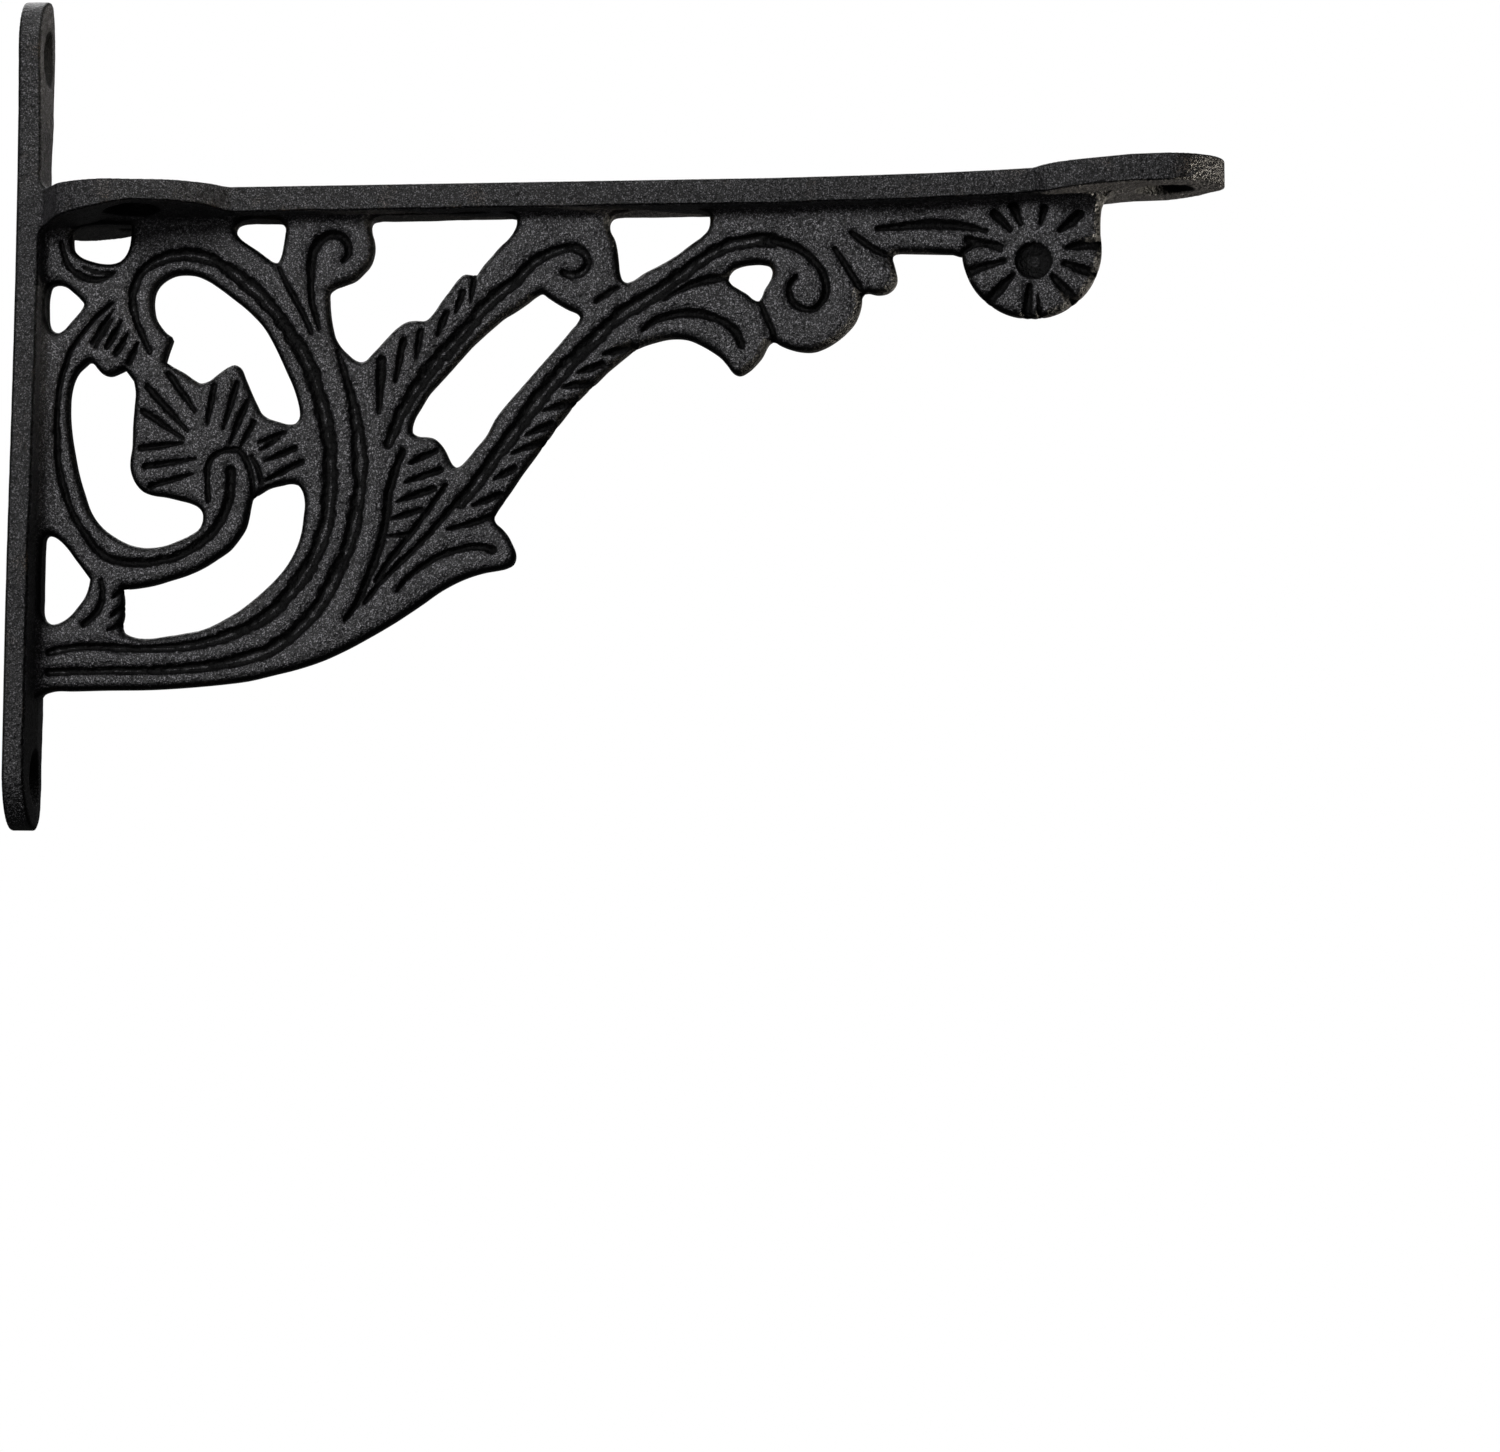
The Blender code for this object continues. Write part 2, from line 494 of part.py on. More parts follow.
def paint():
    """Satin black paint on cast iron."""
    material = bpy.data.materials.new("black_painted_cast_iron")
    material.use_nodes = True
    shader = material.node_tree.nodes["Principled BSDF"]
    shader.inputs["Base Color"].default_value = PAINT_COLOUR
    shader.inputs["Roughness"].default_value = PAINT_ROUGHNESS
    return material


def hidden(collection):
    """Keeps helper shapes out of the render."""
    for helper in collection.objects:
        helper.hide_render = True
        helper.display_type = "WIRE"


def main():
    for old in list(bpy.data.objects):
        bpy.data.objects.remove(old)
    scene = bpy.context.scene.collection
    names = ("ornate_cast_iron_shelf_bracket", "groove_cutters", "hole_cutters", "joined_shapes")
    bracket, grooves, holes, joined = (bpy.data.collections.new(name) for name in names)
    for collection in (bracket, grooves, holes, joined):
        scene.children.link(collection)
    casting = web_body(bracket)
    carve(grooves)
    drill(holes)
    boolean(casting, grooves, "DIFFERENCE")
    boolean(casting, wall_plate_body(joined), "UNION")
    boolean(casting, shelf_plate_body(joined), "UNION")
    boolean(casting, holes, "DIFFERENCE")
    for collection in (grooves, holes, joined):
        hidden(collection)
    casting.data.materials.append(paint())


main()
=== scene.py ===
"""Looks for the ornate cast iron shelf bracket: a detailed casting, its paint and a plain studio.

Flat shapes are drawn in millimetres and become metres when the meshes are made. The casting's skin
is four meshes made from height fields: a fine square grid is cut to the outline's signed distance,
its rim is moved onto the outline, and rounded, drafted walls run down from the rim.
"""

import logging
from dataclasses import dataclass
from enum import Enum
from typing import Optional, Sequence

import bpy
import numpy as np
from mathutils import Matrix, Vector


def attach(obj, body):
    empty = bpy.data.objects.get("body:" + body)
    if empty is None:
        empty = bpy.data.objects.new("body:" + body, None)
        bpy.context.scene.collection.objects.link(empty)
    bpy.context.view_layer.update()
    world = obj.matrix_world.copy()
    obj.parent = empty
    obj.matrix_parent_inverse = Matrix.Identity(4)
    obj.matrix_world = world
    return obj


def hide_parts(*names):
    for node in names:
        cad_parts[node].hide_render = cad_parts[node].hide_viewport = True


LOG = logging.getLogger("bracket")
MM = 0.001
# The arm's slope, and how far it bends up from that straight line as (x, lift) stations.
RISE = np.radians(1.0)
TIP_LIFT = ((157.0, 0.0), (175.0, 0.22), (190.0, 0.48), (203.0, 0.88), (211.0, 1.22),
            (221.0, 2.1), (231.0, 2.92), (242.0, 3.12), (251.0, 3.35))
# Sine of 45 degrees, and how many radii inside the outline a rounded edge slopes that much.
SLANT = np.sqrt(0.5)
KNEE = 1.0 - SLANT

Points = Sequence[tuple]
Array = np.ndarray
Socket = bpy.types.NodeSocket

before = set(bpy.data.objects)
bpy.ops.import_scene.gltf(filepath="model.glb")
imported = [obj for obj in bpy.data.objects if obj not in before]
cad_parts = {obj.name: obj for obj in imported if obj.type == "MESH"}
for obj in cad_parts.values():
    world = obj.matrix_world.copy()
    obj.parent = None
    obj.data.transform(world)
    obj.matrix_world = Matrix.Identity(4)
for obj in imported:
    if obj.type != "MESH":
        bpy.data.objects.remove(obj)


class Face(Enum):
    """The two faces of the web, by the sign of Y."""

    NEAR = -1
    FAR = 1


@dataclass(frozen=True)
class Profile:
    """Cross section of a carved line, across distances in half widths of the line.

    Power and flank shape the bed, and ridge is the height left in its middle over the crest's
    width. The bed carries painted shade, and crest_light is how much less of it the crest gets.
    Soft is the share of the depth that rounds off over the reach, and spread is a factor on the
    width.
    """

    power: float
    ridge: float
    soft: float
    reach: float
    spread: float
    flank: float = 1.2
    crest: float = 0.25
    crest_light: float = 1.6

    def section(self, away: Array) -> tuple[Array, Array]:
        """How deep the line cuts: a bed less a bell-shaped ridge, with soft shoulders.

        Args:
            away: distance from the line, from 0 to the reach.

        Returns:
            The share of the depth there, and the painted shade there: the bed alone, lighter on the
            crest.
        """
        bed = (1 - np.clip(away, 0, 1) ** self.power) ** self.flank
        crest = np.exp(-((away / self.crest) ** 2))
        bed *= 1 - self.ridge * crest
        shoulder = (1 - away / self.reach) ** 2
        # painted shade: the bed without its soft shoulders, lighter on the ridge's crest
        painted_shade = bed * (1 - self.crest_light * self.ridge * crest)
        return bed * (1 - self.soft) + self.soft * shoulder, painted_shade


class Cut(Enum):
    """The kinds of carved line."""

    CHANNEL = Profile(power=2.0, ridge=0.50, soft=0.44, reach=3.0, spread=1.25)
    GROOVE = Profile(power=1.5, ridge=0.0, soft=0.48, reach=3.8, spread=1.0)
    NICK = Profile(power=1.5, ridge=0.0, soft=0.44, reach=2.8, spread=1.05)


def smooth(points: Points, step: float, closed: bool = True) -> Array:
    """Even steps along cubic curves through the points, straight at sharp corners and open ends.

    Args:
        points: (u, v) pairs, with a third entry on a sharp corner.
        step: the spacing wanted along the curve.
        closed: whether the last point joins the first.

    Returns:
        The points of the curve, one a row. A closed curve's first point isn't repeated.
    """
    at = np.array([point[:2] for point in points], float)
    sharp = np.array([len(point) > 2 for point in points])
    if not closed:
        sharp[[0, -1]] = True
    before, after = at - np.roll(at, 1, 0), np.roll(at, -1, 0) - at
    far, near = np.linalg.norm(after, axis=1)[:, None], np.linalg.norm(before, axis=1)[:, None]
    bend = (before / near * far + after / far * near) / (near + far)
    pieces = []
    for i in range(len(at) if closed else len(at) - 1):
        j = (i + 1) % len(at)
        chord, length = after[i], far[i, 0]
        out = chord if sharp[i] else bend[i] * length
        home = chord if sharp[j] else bend[j] * length
        count = max(1, round(length / step))
        t = (np.arange(count) / count)[:, None]
        pieces.append(at[i] * (2 * t**3 - 3 * t**2 + 1) + out * (t**3 - 2 * t**2 + t)
                      + at[j] * (3 * t**2 - 2 * t**3) + home * (t**3 - t**2))
    if not closed:
        pieces.append(at[-1:])
    return np.concatenate(pieces)


def arc(centre: tuple, radius: float, start: float, end: float, step: float = 0.5) -> Array:
    """Points evenly spread on an arc, both of its ends included.

    Args:
        centre: its middle.
        radius: its radius.
        start: the angle that it starts at, in degrees.
        end: the angle that it ends at, in degrees.
        step: the spacing wanted along it.

    Returns:
        The points, one a row.
    """
    count = max(2, round(abs(np.radians(end - start)) * radius / step))
    turn = np.radians(np.linspace(start, end, count + 1))
    return np.stack([centre[0] + radius * np.cos(turn), centre[1] + radius * np.sin(turn)], 1)


def lift(x: Array) -> Array:
    """How far the arm has bent up from its straight line at each of these places."""
    return np.interp(x, *zip(*TIP_LIFT))


def flare(gap: Array, radius: float) -> Array:
    """Height of a quarter-round fillet at a gap from its corner, full where the gap is below 0."""
    left = radius - np.clip(gap, 0, radius)
    return radius - np.sqrt(radius**2 - left**2)


def grain(shape: tuple, reach: float, seed: int) -> Array:
    """Smooth random lumps with unit spread: white noise blurred by a Gaussian.

    Args:
        shape: the shape of the field.
        reach: the Gaussian's reach in cells.
        seed: the seed of the noise.

    Returns:
        The field.
    """
    noise = np.random.default_rng(seed).normal(size=shape)
    across = np.fft.fftfreq(shape[0])[:, None] ** 2 + np.fft.rfftfreq(shape[1])[None, :] ** 2
    lumps = np.fft.irfft2(np.fft.rfft2(noise) * np.exp(-2 * (np.pi * reach) ** 2 * across), shape)
    return lumps / lumps.std()


def uneven(shape: tuple, sizes: Sequence[tuple], shift: int = 0) -> Array:
    """The sum of lumps of several sizes.

    Args:
        shape: the shape of the field.
        sizes: for each size its height, its reach in cells and its seed.
        shift: a number added to every seed.

    Returns:
        The field.
    """
    return sum(height * grain(shape, reach, seed + shift) for height, reach, seed in sizes)


@dataclass(frozen=True)
class Stroke:
    """One carved line: its cross section, its widths along it, its depth and its centre points."""

    cut: Cut
    widths: tuple
    depth: float
    points: Points
    step: float = 0.8

    def line(self) -> Array:
        """The centre line in fine steps."""
        return smooth(self.points, self.step, closed=False)

    def width_along(self, line: Array) -> Array:
        """The width at each point of the line, evenly spread between the stated widths."""
        run = np.concatenate([[0], np.cumsum(np.linalg.norm(np.diff(line, axis=0), axis=1))])
        return np.interp(run / run[-1], np.linspace(0, 1, len(self.widths)), self.widths)


@dataclass(frozen=True, eq=False)
class Grid:
    """A square grid over part of a plane, by its two rows of coordinates and their spacing.

    Ragged is how uneven the edges of its carved lines are, as heights, reaches and seeds.
    """

    u: Array
    v: Array
    step: float
    ragged: tuple = ((0.07, 1.2, 21), (0.05, 4.0, 22))

    @classmethod
    def over(cls, low: tuple, high: tuple, step: float) -> "Grid":
        """A grid that covers a box.

        Args:
            low: the box's lower corner, which is on the grid.
            high: its upper corner.
            step: the spacing.

        Returns:
            The grid.
        """
        u, v = (start + step * np.arange(int(np.ceil((stop - start) / step)) + 1)
                for start, stop in zip(low, high))
        return cls(u, v, step)

    @property
    def low(self) -> Array:
        """The corner that the grid starts from."""
        return np.array([self.u[0], self.v[0]])

    @property
    def shape(self) -> tuple:
        """How many points it has along each axis."""
        return len(self.u), len(self.v)

    def both(self) -> tuple[Array, Array]:
        """Both coordinates at every point."""
        return np.meshgrid(self.u, self.v, indexing="ij")

    def window(self, low: Array, high: Array) -> tuple[slice, slice]:
        """The rows and columns inside a box with these corners."""
        first = np.clip(np.floor((low - self.low) / self.step).astype(int), 0, self.shape)
        last = np.clip(np.ceil((high - self.low) / self.step).astype(int) + 1, 0, self.shape)
        return slice(first[0], last[0]), slice(first[1], last[1])

    def nearest(self, line: Array, width: Array, reach: float, closed: bool, found: Array) -> None:
        """Lowers a field to the distance from a line, each part divided by half of its own width.

        Args:
            line: the points of the line.
            width: the width at each of them.
            reach: how many half widths away the field still changes.
            closed: whether the last point joins the first.
            found: the field, changed in place.
        """
        ends = np.roll(line, -1, 0) if closed else line[1:]
        wide = np.roll(width, -1) if closed else width[1:]
        for a, b, wa, wb in zip(line, ends, width, wide):
            out = reach * max(wa, wb) / 2
            rows, cols = self.window(np.minimum(a, b) - out, np.maximum(a, b) + out)
            du, dv = self.u[rows][:, None] - a[0], self.v[cols][None, :] - a[1]
            eu, ev = b - a
            t = np.clip((du * eu + dv * ev) / max(eu * eu + ev * ev, 1e-12), 0, 1)
            away = np.hypot(du - t * eu, dv - t * ev) / ((wa + (wb - wa) * t) / 2)
            found[rows, cols] = np.minimum(found[rows, cols], away)

    def inside(self, loops: Sequence[Array]) -> Array:
        """Whether each point is inside an odd number of the loops, by counting crossings a row.

        Args:
            loops: closed outlines.

        Returns:
            A field of true and false.
        """
        flips = np.zeros((self.shape[0] + 1, self.shape[1]), int)
        for loop in loops:
            a, b = loop, np.roll(loop, -1, 0)
            crossed = (a[:, 1:] <= self.v) != (b[:, 1:] <= self.v)
            edge, col = np.nonzero(crossed)
            along = (self.v[col] - a[edge, 1]) / (b[edge, 1] - a[edge, 1])
            u = a[edge, 0] + along * (b[edge, 0] - a[edge, 0])
            row = np.clip(np.ceil((u - self.low[0]) / self.step).astype(int), 0, self.shape[0])
            np.add.at(flips, (row, col), 1)
        return (np.cumsum(flips, 0) % 2 == 1)[:-1]

    def signed(self, loops: Sequence[Array], reach: float = 4.0) -> Array:
        """Distance to the loops, positive inside, with its corners eased by one small blur.

        Args:
            loops: closed outlines.
            reach: the distance past which the field stays level.

        Returns:
            The distance at each point.
        """
        away = np.full(self.shape, reach)
        for loop in loops:
            self.nearest(loop, np.full(len(loop), 2.0), reach, True, away)
        edge = np.where(self.inside(loops), away, -away)
        wide = np.pad(edge, 1, mode="edge")
        return (wide[:-2, 1:-1] + wide[2:, 1:-1] + wide[1:-1, :-2] + wide[1:-1, 2:] + 4 * edge) / 8

    def carved(self, strokes: Sequence[Stroke], wider: float) -> tuple[Array, Array]:
        """How deep the strokes cut at each point, the deepest where they cross, and the painted
        shade along their bed.

        Args:
            strokes: the carved lines.
            wider: a factor on all of their widths.

        Returns:
            The depth with the soft shoulders, and the painted shade of the carved bed alone.
        """
        depth, bed_shade = np.zeros(self.shape), np.zeros(self.shape)
        ragged = uneven(self.shape, self.ragged)
        for stroke in strokes:
            line, profile = stroke.line(), stroke.cut.value
            reach, spread = profile.reach, profile.spread * wider
            out = reach * spread * max(stroke.widths) / 2 + self.step
            here = self.window(line.min(0) - out, line.max(0) + out)
            part = Grid(self.u[here[0]], self.v[here[1]], self.step)
            away = np.full(part.shape, reach)
            part.nearest(line, stroke.width_along(line) * spread, reach, False, away)
            away = np.clip(away + ragged[here] * np.clip(reach - away, 0, 1), 0, reach)
            share, painted_shade = profile.section(away)
            depth[here] = np.maximum(depth[here], stroke.depth * share)
            # painted shade in the carved bed, the strongest of the strokes where they cross
            bed_shade[here] = np.maximum(bed_shade[here], painted_shade)
        return depth, bed_shade

    def sample(self, values: Array, u: Array, v: Array) -> Array:
        """The field between its points, by straight blends along both axes.

        Args:
            values: a field on this grid.
            u: first coordinates of the places wanted.
            v: their second coordinates.

        Returns:
            The value at each place.
        """
        i = np.clip((u - self.low[0]) / self.step, 0, self.shape[0] - 1.001)
        j = np.clip((v - self.low[1]) / self.step, 0, self.shape[1] - 1.001)
        a, b = i.astype(int), j.astype(int)
        s, t = i - a, j - b
        return ((values[a, b] * (1 - s) + values[a + 1, b] * s) * (1 - t)
                + (values[a, b + 1] * (1 - s) + values[a + 1, b + 1] * s) * t)


@dataclass
class Skin:
    """A surface: points, quads, the painted shade of carving and countersinks at each point and how
    far round an edge it is.
    """

    points: Array
    faces: Array
    # painted shade at each point, from 0 to 1
    dug: Array
    turned: Array

    def turned_over(self) -> "Skin":
        """The same surface with its normals the other way."""
        return Skin(self.points, self.faces[:, ::-1], self.dug, self.turned)

    def make(self, name: str, points: Array, material: bpy.types.Material) -> bpy.types.Object:
        """Makes a smooth-shaded object, with the painted shade of the carving and the edges as
        attributes.

        Args:
            name: the name of the object and of its mesh.
            points: where each point goes, in millimetres.
            material: its finish.

        Returns:
            The new object.
        """
        mesh = bpy.data.meshes.new(name)
        mesh.vertices.add(len(points))
        mesh.vertices.foreach_set("co", (points * MM).astype(np.float32).ravel())
        mesh.loops.add(self.faces.size)
        mesh.loops.foreach_set("vertex_index", self.faces.astype(np.int32).ravel())
        mesh.polygons.add(len(self.faces))
        mesh.polygons.foreach_set("loop_start", np.arange(0, self.faces.size, 4, dtype=np.int32))
        mesh.polygons.foreach_set("use_smooth", np.ones(len(self.faces), bool))
        # the carved attribute holds painted shade; the edge one tells how far round an edge each
        # point is
        for label, values in (("carved", self.dug), ("edge", self.turned)):
            attribute = mesh.attributes.new(label, "FLOAT", "POINT")
            attribute.data.foreach_set("value", values.astype(np.float32))
        mesh.update(calc_edges=True)
        mesh.validate()
        mesh.materials.append(material)
        made = bpy.data.objects.new(name, mesh)
        bpy.context.scene.collection.objects.link(made)
        LOG.info("%s: %d quads", name, len(self.faces))
        return made


@dataclass
class Slab:
    """A flat casting between a top and a bottom height field, inside one outline.

    Where bottom is missing the walls end at height 0, for one half of a body split at its parting
    plane. Steps are the angles of the rings around a rounded edge, in degrees.
    """

    grid: Grid
    edge: Array
    top: Array
    # painted shade in carved lines and countersinks, from 0 to 1, that the mesh carries
    shade_mask: Array
    bottom: Optional[Array] = None
    round_edge: Array | float = 1.0
    draft: float = 0.0
    steps: tuple = (60.0, 75.0, 90.0)

    def rings(self, size: Array, tall: Array, low: Optional[Array]) -> list[tuple]:
        """The rings of the wall: a quarter round down from the top, then down to the bottom.

        Args:
            size: the edge's radius at each point of the rim.
            tall: the height of the top there.
            low: the height of the bottom there, or None for a half body.

        Returns:
            For each ring how far out it lies, its height and how far round the edge it is.
        """
        leans = np.radians(self.steps)
        found = [(size * (np.sin(lean) - SLANT), tall - size * (1 - np.cos(lean)), np.sin(lean))
                 for lean in leans]
        if low is None:
            return found + [(size * KNEE + self.draft * (tall - size), np.zeros(len(size)), 1.0)]
        return found + [(size * (np.sin(lean) - SLANT) + self.draft * (tall - low),
                         low + size * (1 - np.cos(lean)), np.sin(lean)) for lean in leans[::-1]]

    def skin(self) -> Skin:
        """Works out the whole surface, in (u, v, height) points.

        Cells inside the edge's 45 degree line are kept, the points of their rim are moved onto that
        line, and the top falls towards it as a quarter circle.
        """
        grid = self.grid
        reach = self.edge - KNEE * self.round_edge
        cells = reach[:-1, :-1] + reach[1:, :-1] + reach[:-1, 1:] + reach[1:, 1:] > 0
        wide = np.pad(cells, 1)
        corners = np.stack([wide[:-1, :-1], wide[1:, :-1], wide[:-1, 1:], wide[1:, 1:]])
        used = corners.any(0)
        rim = used & ~corners.all(0)
        slope_u, slope_v = np.gradient(reach, grid.step)
        steep = np.hypot(slope_u, slope_v) + 1e-9
        u, v = grid.both()
        shift = np.where(rim, np.clip(reach / steep, -grid.step, grid.step), 0) / steep
        u, v = (u - shift * slope_u)[used], (v - shift * slope_v)[used]
        rims = np.nonzero(rim[used])[0]
        out_u, out_v = (-slope_u / steep)[used][rims], (-slope_v / steep)[used][rims]

        size = grid.sample(np.broadcast_to(self.round_edge, grid.shape), u, v)
        depth_in = np.where(rim[used], 0, reach[used]) + KNEE * size
        inner = np.clip(1 - depth_in / np.maximum(size, 1e-6), 0, 1)
        drop = size * (1 - np.sqrt(1 - inner**2))
        dug, high = grid.sample(self.shade_mask, u, v), grid.sample(self.top, u, v)
        low = None if self.bottom is None else grid.sample(self.bottom, u, v)

        number = np.full(grid.shape, -1)
        number[used] = np.arange(used.sum())
        i, j = np.nonzero(cells)
        ring = [number[i, j], number[i + 1, j], number[i + 1, j + 1], number[i, j + 1]]
        gone = [~wide[1:-1, :-2], ~wide[2:, 1:-1], ~wide[1:-1, 2:], ~wide[:-2, 1:-1]]
        place = np.full(len(u), -1)
        place[rims] = np.arange(len(rims))
        starts = place[np.concatenate([ring[k][gone[k][i, j]] for k in range(4)])]
        stops = place[np.concatenate([ring[(k + 1) % 4][gone[k][i, j]] for k in range(4)])]

        points, faces = [np.stack([u, v, high - drop], 1)], [np.stack(ring, 1)]
        dugs, turned, rows, total = [dug], [inner], [rims], len(u)
        low_rim = None if low is None else low[rims]
        for out, height, turn in self.rings(size[rims], high[rims], low_rim):
            points.append(np.stack([u[rims] + out_u * out, v[rims] + out_v * out, height], 1))
            dugs.append(dug[rims])
            turned.append(np.full(len(rims), turn))
            rows.append(total + np.arange(len(rims)))
            total += len(rims)
        if low is not None:
            points.append(np.stack([u, v, low + drop], 1))
            dugs.append(np.zeros(len(u)))
            turned.append(inner)
            faces.append(np.stack(ring[::-1], 1) + total)
            rows.append(total + rims)
        for upper, lower in zip(rows[:-1], rows[1:]):
            faces.append(np.stack([upper[starts], lower[starts], lower[stops], upper[stops]], 1))
        return Skin(*(np.concatenate(part) for part in (points, faces, dugs, turned)))


class Wiring:
    """Short ways to add linked nodes to one material, with patterns on Object coordinates."""

    def __init__(self, tree: bpy.types.NodeTree) -> None:
        """Takes the material's node tree, and adds the coordinates that its patterns share."""
        self.tree = tree
        self.place = tree.nodes.new("ShaderNodeTexCoord").outputs["Object"]

    def noise(self, size_mm: float, detail: float, roughness: float) -> Socket:
        """A noise pattern.

        Args:
            size_mm: the size of its lumps.
            detail: how many finer sizes are added.
            roughness: how strong the finer sizes are.

        Returns:
            Its value, about 0.5 on average.
        """
        node = self.tree.nodes.new("ShaderNodeTexNoise")
        node.inputs["Scale"].default_value = 1.0 / (size_mm * MM)
        node.inputs["Detail"].default_value = detail
        node.inputs["Roughness"].default_value = roughness
        self.tree.links.new(self.place, node.inputs["Vector"])
        return node.outputs["Fac"]

    def ramp(self, value: Socket, ends: tuple, results: tuple = (0.0, 1.0)) -> Socket:
        """A value carried from one range to another and held at its ends.

        Args:
            value: the value.
            ends: where the range starts and stops.
            results: what comes out at these two ends.

        Returns:
            The new value.
        """
        node = self.tree.nodes.new("ShaderNodeMapRange")
        for name, number in zip(("From Min", "From Max", "To Min", "To Max"), (*ends, *results)):
            node.inputs[name].default_value = number
        self.tree.links.new(value, node.inputs["Value"])
        return node.outputs["Result"]

    def attribute(self, name: str) -> Socket:
        """The value of a mesh attribute."""
        node = self.tree.nodes.new("ShaderNodeAttribute")
        node.attribute_name = name
        return node.outputs["Fac"]

    def sum_up(self, operation: str, a: Socket, b: Socket) -> Socket:
        """Two values joined by an operation of the Math node.

        Args:
            operation: the node's name for it.
            a: the first value.
            b: the second value.

        Returns:
            The result.
        """
        node = self.tree.nodes.new("ShaderNodeMath")
        node.operation = operation
        self.tree.links.new(a, node.inputs[0])
        self.tree.links.new(b, node.inputs[1])
        return node.outputs["Value"]

    def mix(self, amount: Socket, a: tuple | Socket, b: tuple) -> Socket:
        """A colour between two others.

        Args:
            amount: 0 for the first and 1 for the second.
            a: the first colour, or a socket that gives it.
            b: the second colour.

        Returns:
            The mixed colour.
        """
        node = self.tree.nodes.new("ShaderNodeMix")
        node.data_type = "RGBA"
        self.tree.links.new(amount, node.inputs["Factor"])
        if isinstance(a, tuple):
            node.inputs["A"].default_value = a
        else:
            self.tree.links.new(a, node.inputs["A"])
        node.inputs["B"].default_value = b
        return node.outputs["Result"]

    def bump(self, height: Socket, depth_mm: float, under: Optional[Socket] = None) -> Socket:
        """A bumpy normal.

        Args:
            height: the pattern that is raised.
            depth_mm: how far a full step of it stands out.
            under: the normal that the bumps are added to, if it is not the plain one.

        Returns:
            The new normal.
        """
        node = self.tree.nodes.new("ShaderNodeBump")
        node.inputs["Strength"].default_value = 1.0
        node.inputs["Distance"].default_value = depth_mm * MM
        self.tree.links.new(height, node.inputs["Height"])
        if under is not None:
            self.tree.links.new(under, node.inputs["Normal"])
        return node.outputs["Normal"]


@dataclass(frozen=True)
class CastPaint:
    """Satin black paint over sand-cast iron, with painted shade and painted glints: colours, gloss,
    noises, bumps in mm and ranges.

    Each noise has the size of its lumps in millimetres, its detail and its roughness.
    """

    face: tuple = (0.0065, 0.0065, 0.0075, 1.0)
    # colour of the painted glints on the sand grain
    glint_colour: tuple = (0.300, 0.293, 0.312, 1.0)
    # near black of the painted shade in carving, pits and on rounded edges
    groove: tuple = (0.0008, 0.0008, 0.0009, 1.0)
    # colour of the painted brownish glints on edges, a painted reflection
    warm_glint_colour: tuple = (0.120, 0.082, 0.050, 1.0)
    specular: float = 0.48
    groove_specular: float = 0.14
    roughness: float = 0.40
    groove_roughness: float = 0.55
    glint_noise: tuple = (0.31, 2.0, 0.7)
    fine_noise: tuple = (0.80, 3.0, 0.6)
    coarse_noise: tuple = (2.6, 4.0, 0.6)
    patch_noise: tuple = (9.0, 3.0, 0.55)
    fine_bump: float = 0.70
    coarse_bump: float = 0.50
    glint_range: tuple = (0.53, 0.67)
    pit_shade_range: tuple = (0.47, 0.36)
    carved_shade_range: tuple = (0.05, 0.28)
    rim_shade_range: tuple = (0.10, 0.60)
    wall_shade_range: tuple = (1.0, 0.9)
    wall_shade: float = 0.45
    warm_edge_range: tuple = (0.2, 0.8)
    patch_range: tuple = (0.58, 0.78)

    def material(self) -> bpy.types.Material:
        """Builds the nodes: colour with painted shade and painted glints, gloss from carving and
        the painted shade, bump from noise.
        """
        made = bpy.data.materials.new("satin_black_cast_iron")
        made.use_nodes = True
        shader = made.node_tree.nodes["Principled BSDF"]
        wiring = Wiring(made.node_tree)
        ramp, mix, sum_up = wiring.ramp, wiring.mix, wiring.sum_up
        fine = wiring.noise(*self.fine_noise)
        coarse = wiring.noise(*self.coarse_noise)
        patches = wiring.noise(*self.patch_noise)
        edge = wiring.attribute("edge")
        # painted shade in the carved lines, the dimple and the countersinks
        carved = ramp(wiring.attribute("carved"), self.carved_shade_range)
        # painted shade on rounded edges, eased to a share on the walls themselves
        wall = ramp(edge, self.wall_shade_range, (self.wall_shade, 1.0))
        rim = sum_up("MULTIPLY", ramp(edge, self.rim_shade_range), wall)
        # painted reflection: brownish glints on rounded edges, in patches
        warm_edge_glints = sum_up("MULTIPLY", ramp(edge, self.warm_edge_range), ramp(patches, self.patch_range))
        # painted glints: light flecks on the sand grain
        glints = ramp(wiring.noise(*self.glint_noise), self.glint_range)
        colour = mix(glints, self.face, self.glint_colour)
        # painted shade in the low pits of the fine bump
        colour = mix(ramp(fine, self.pit_shade_range), colour, self.groove)
        # painted shade on rounded edges
        colour = mix(rim, colour, self.groove)
        colour = mix(sum_up("MULTIPLY", warm_edge_glints, glints), colour, self.warm_glint_colour)
        colour = mix(carved, colour, self.groove)
        # less specular where the painted shade is
        painted_shade = sum_up("MAXIMUM", carved, rim)
        gloss = ramp(carved, (0.0, 1.0), (self.roughness, self.groove_roughness))
        sheen = ramp(painted_shade, (0.0, 1.0), (self.specular, self.groove_specular))
        normal = wiring.bump(fine, self.fine_bump, wiring.bump(coarse, self.coarse_bump))
        for name, socket in (("Base Color", colour), ("Roughness", gloss),
                             ("Specular IOR Level", sheen), ("Normal", normal)):
            made.node_tree.links.new(socket, shader.inputs[name])
        return made


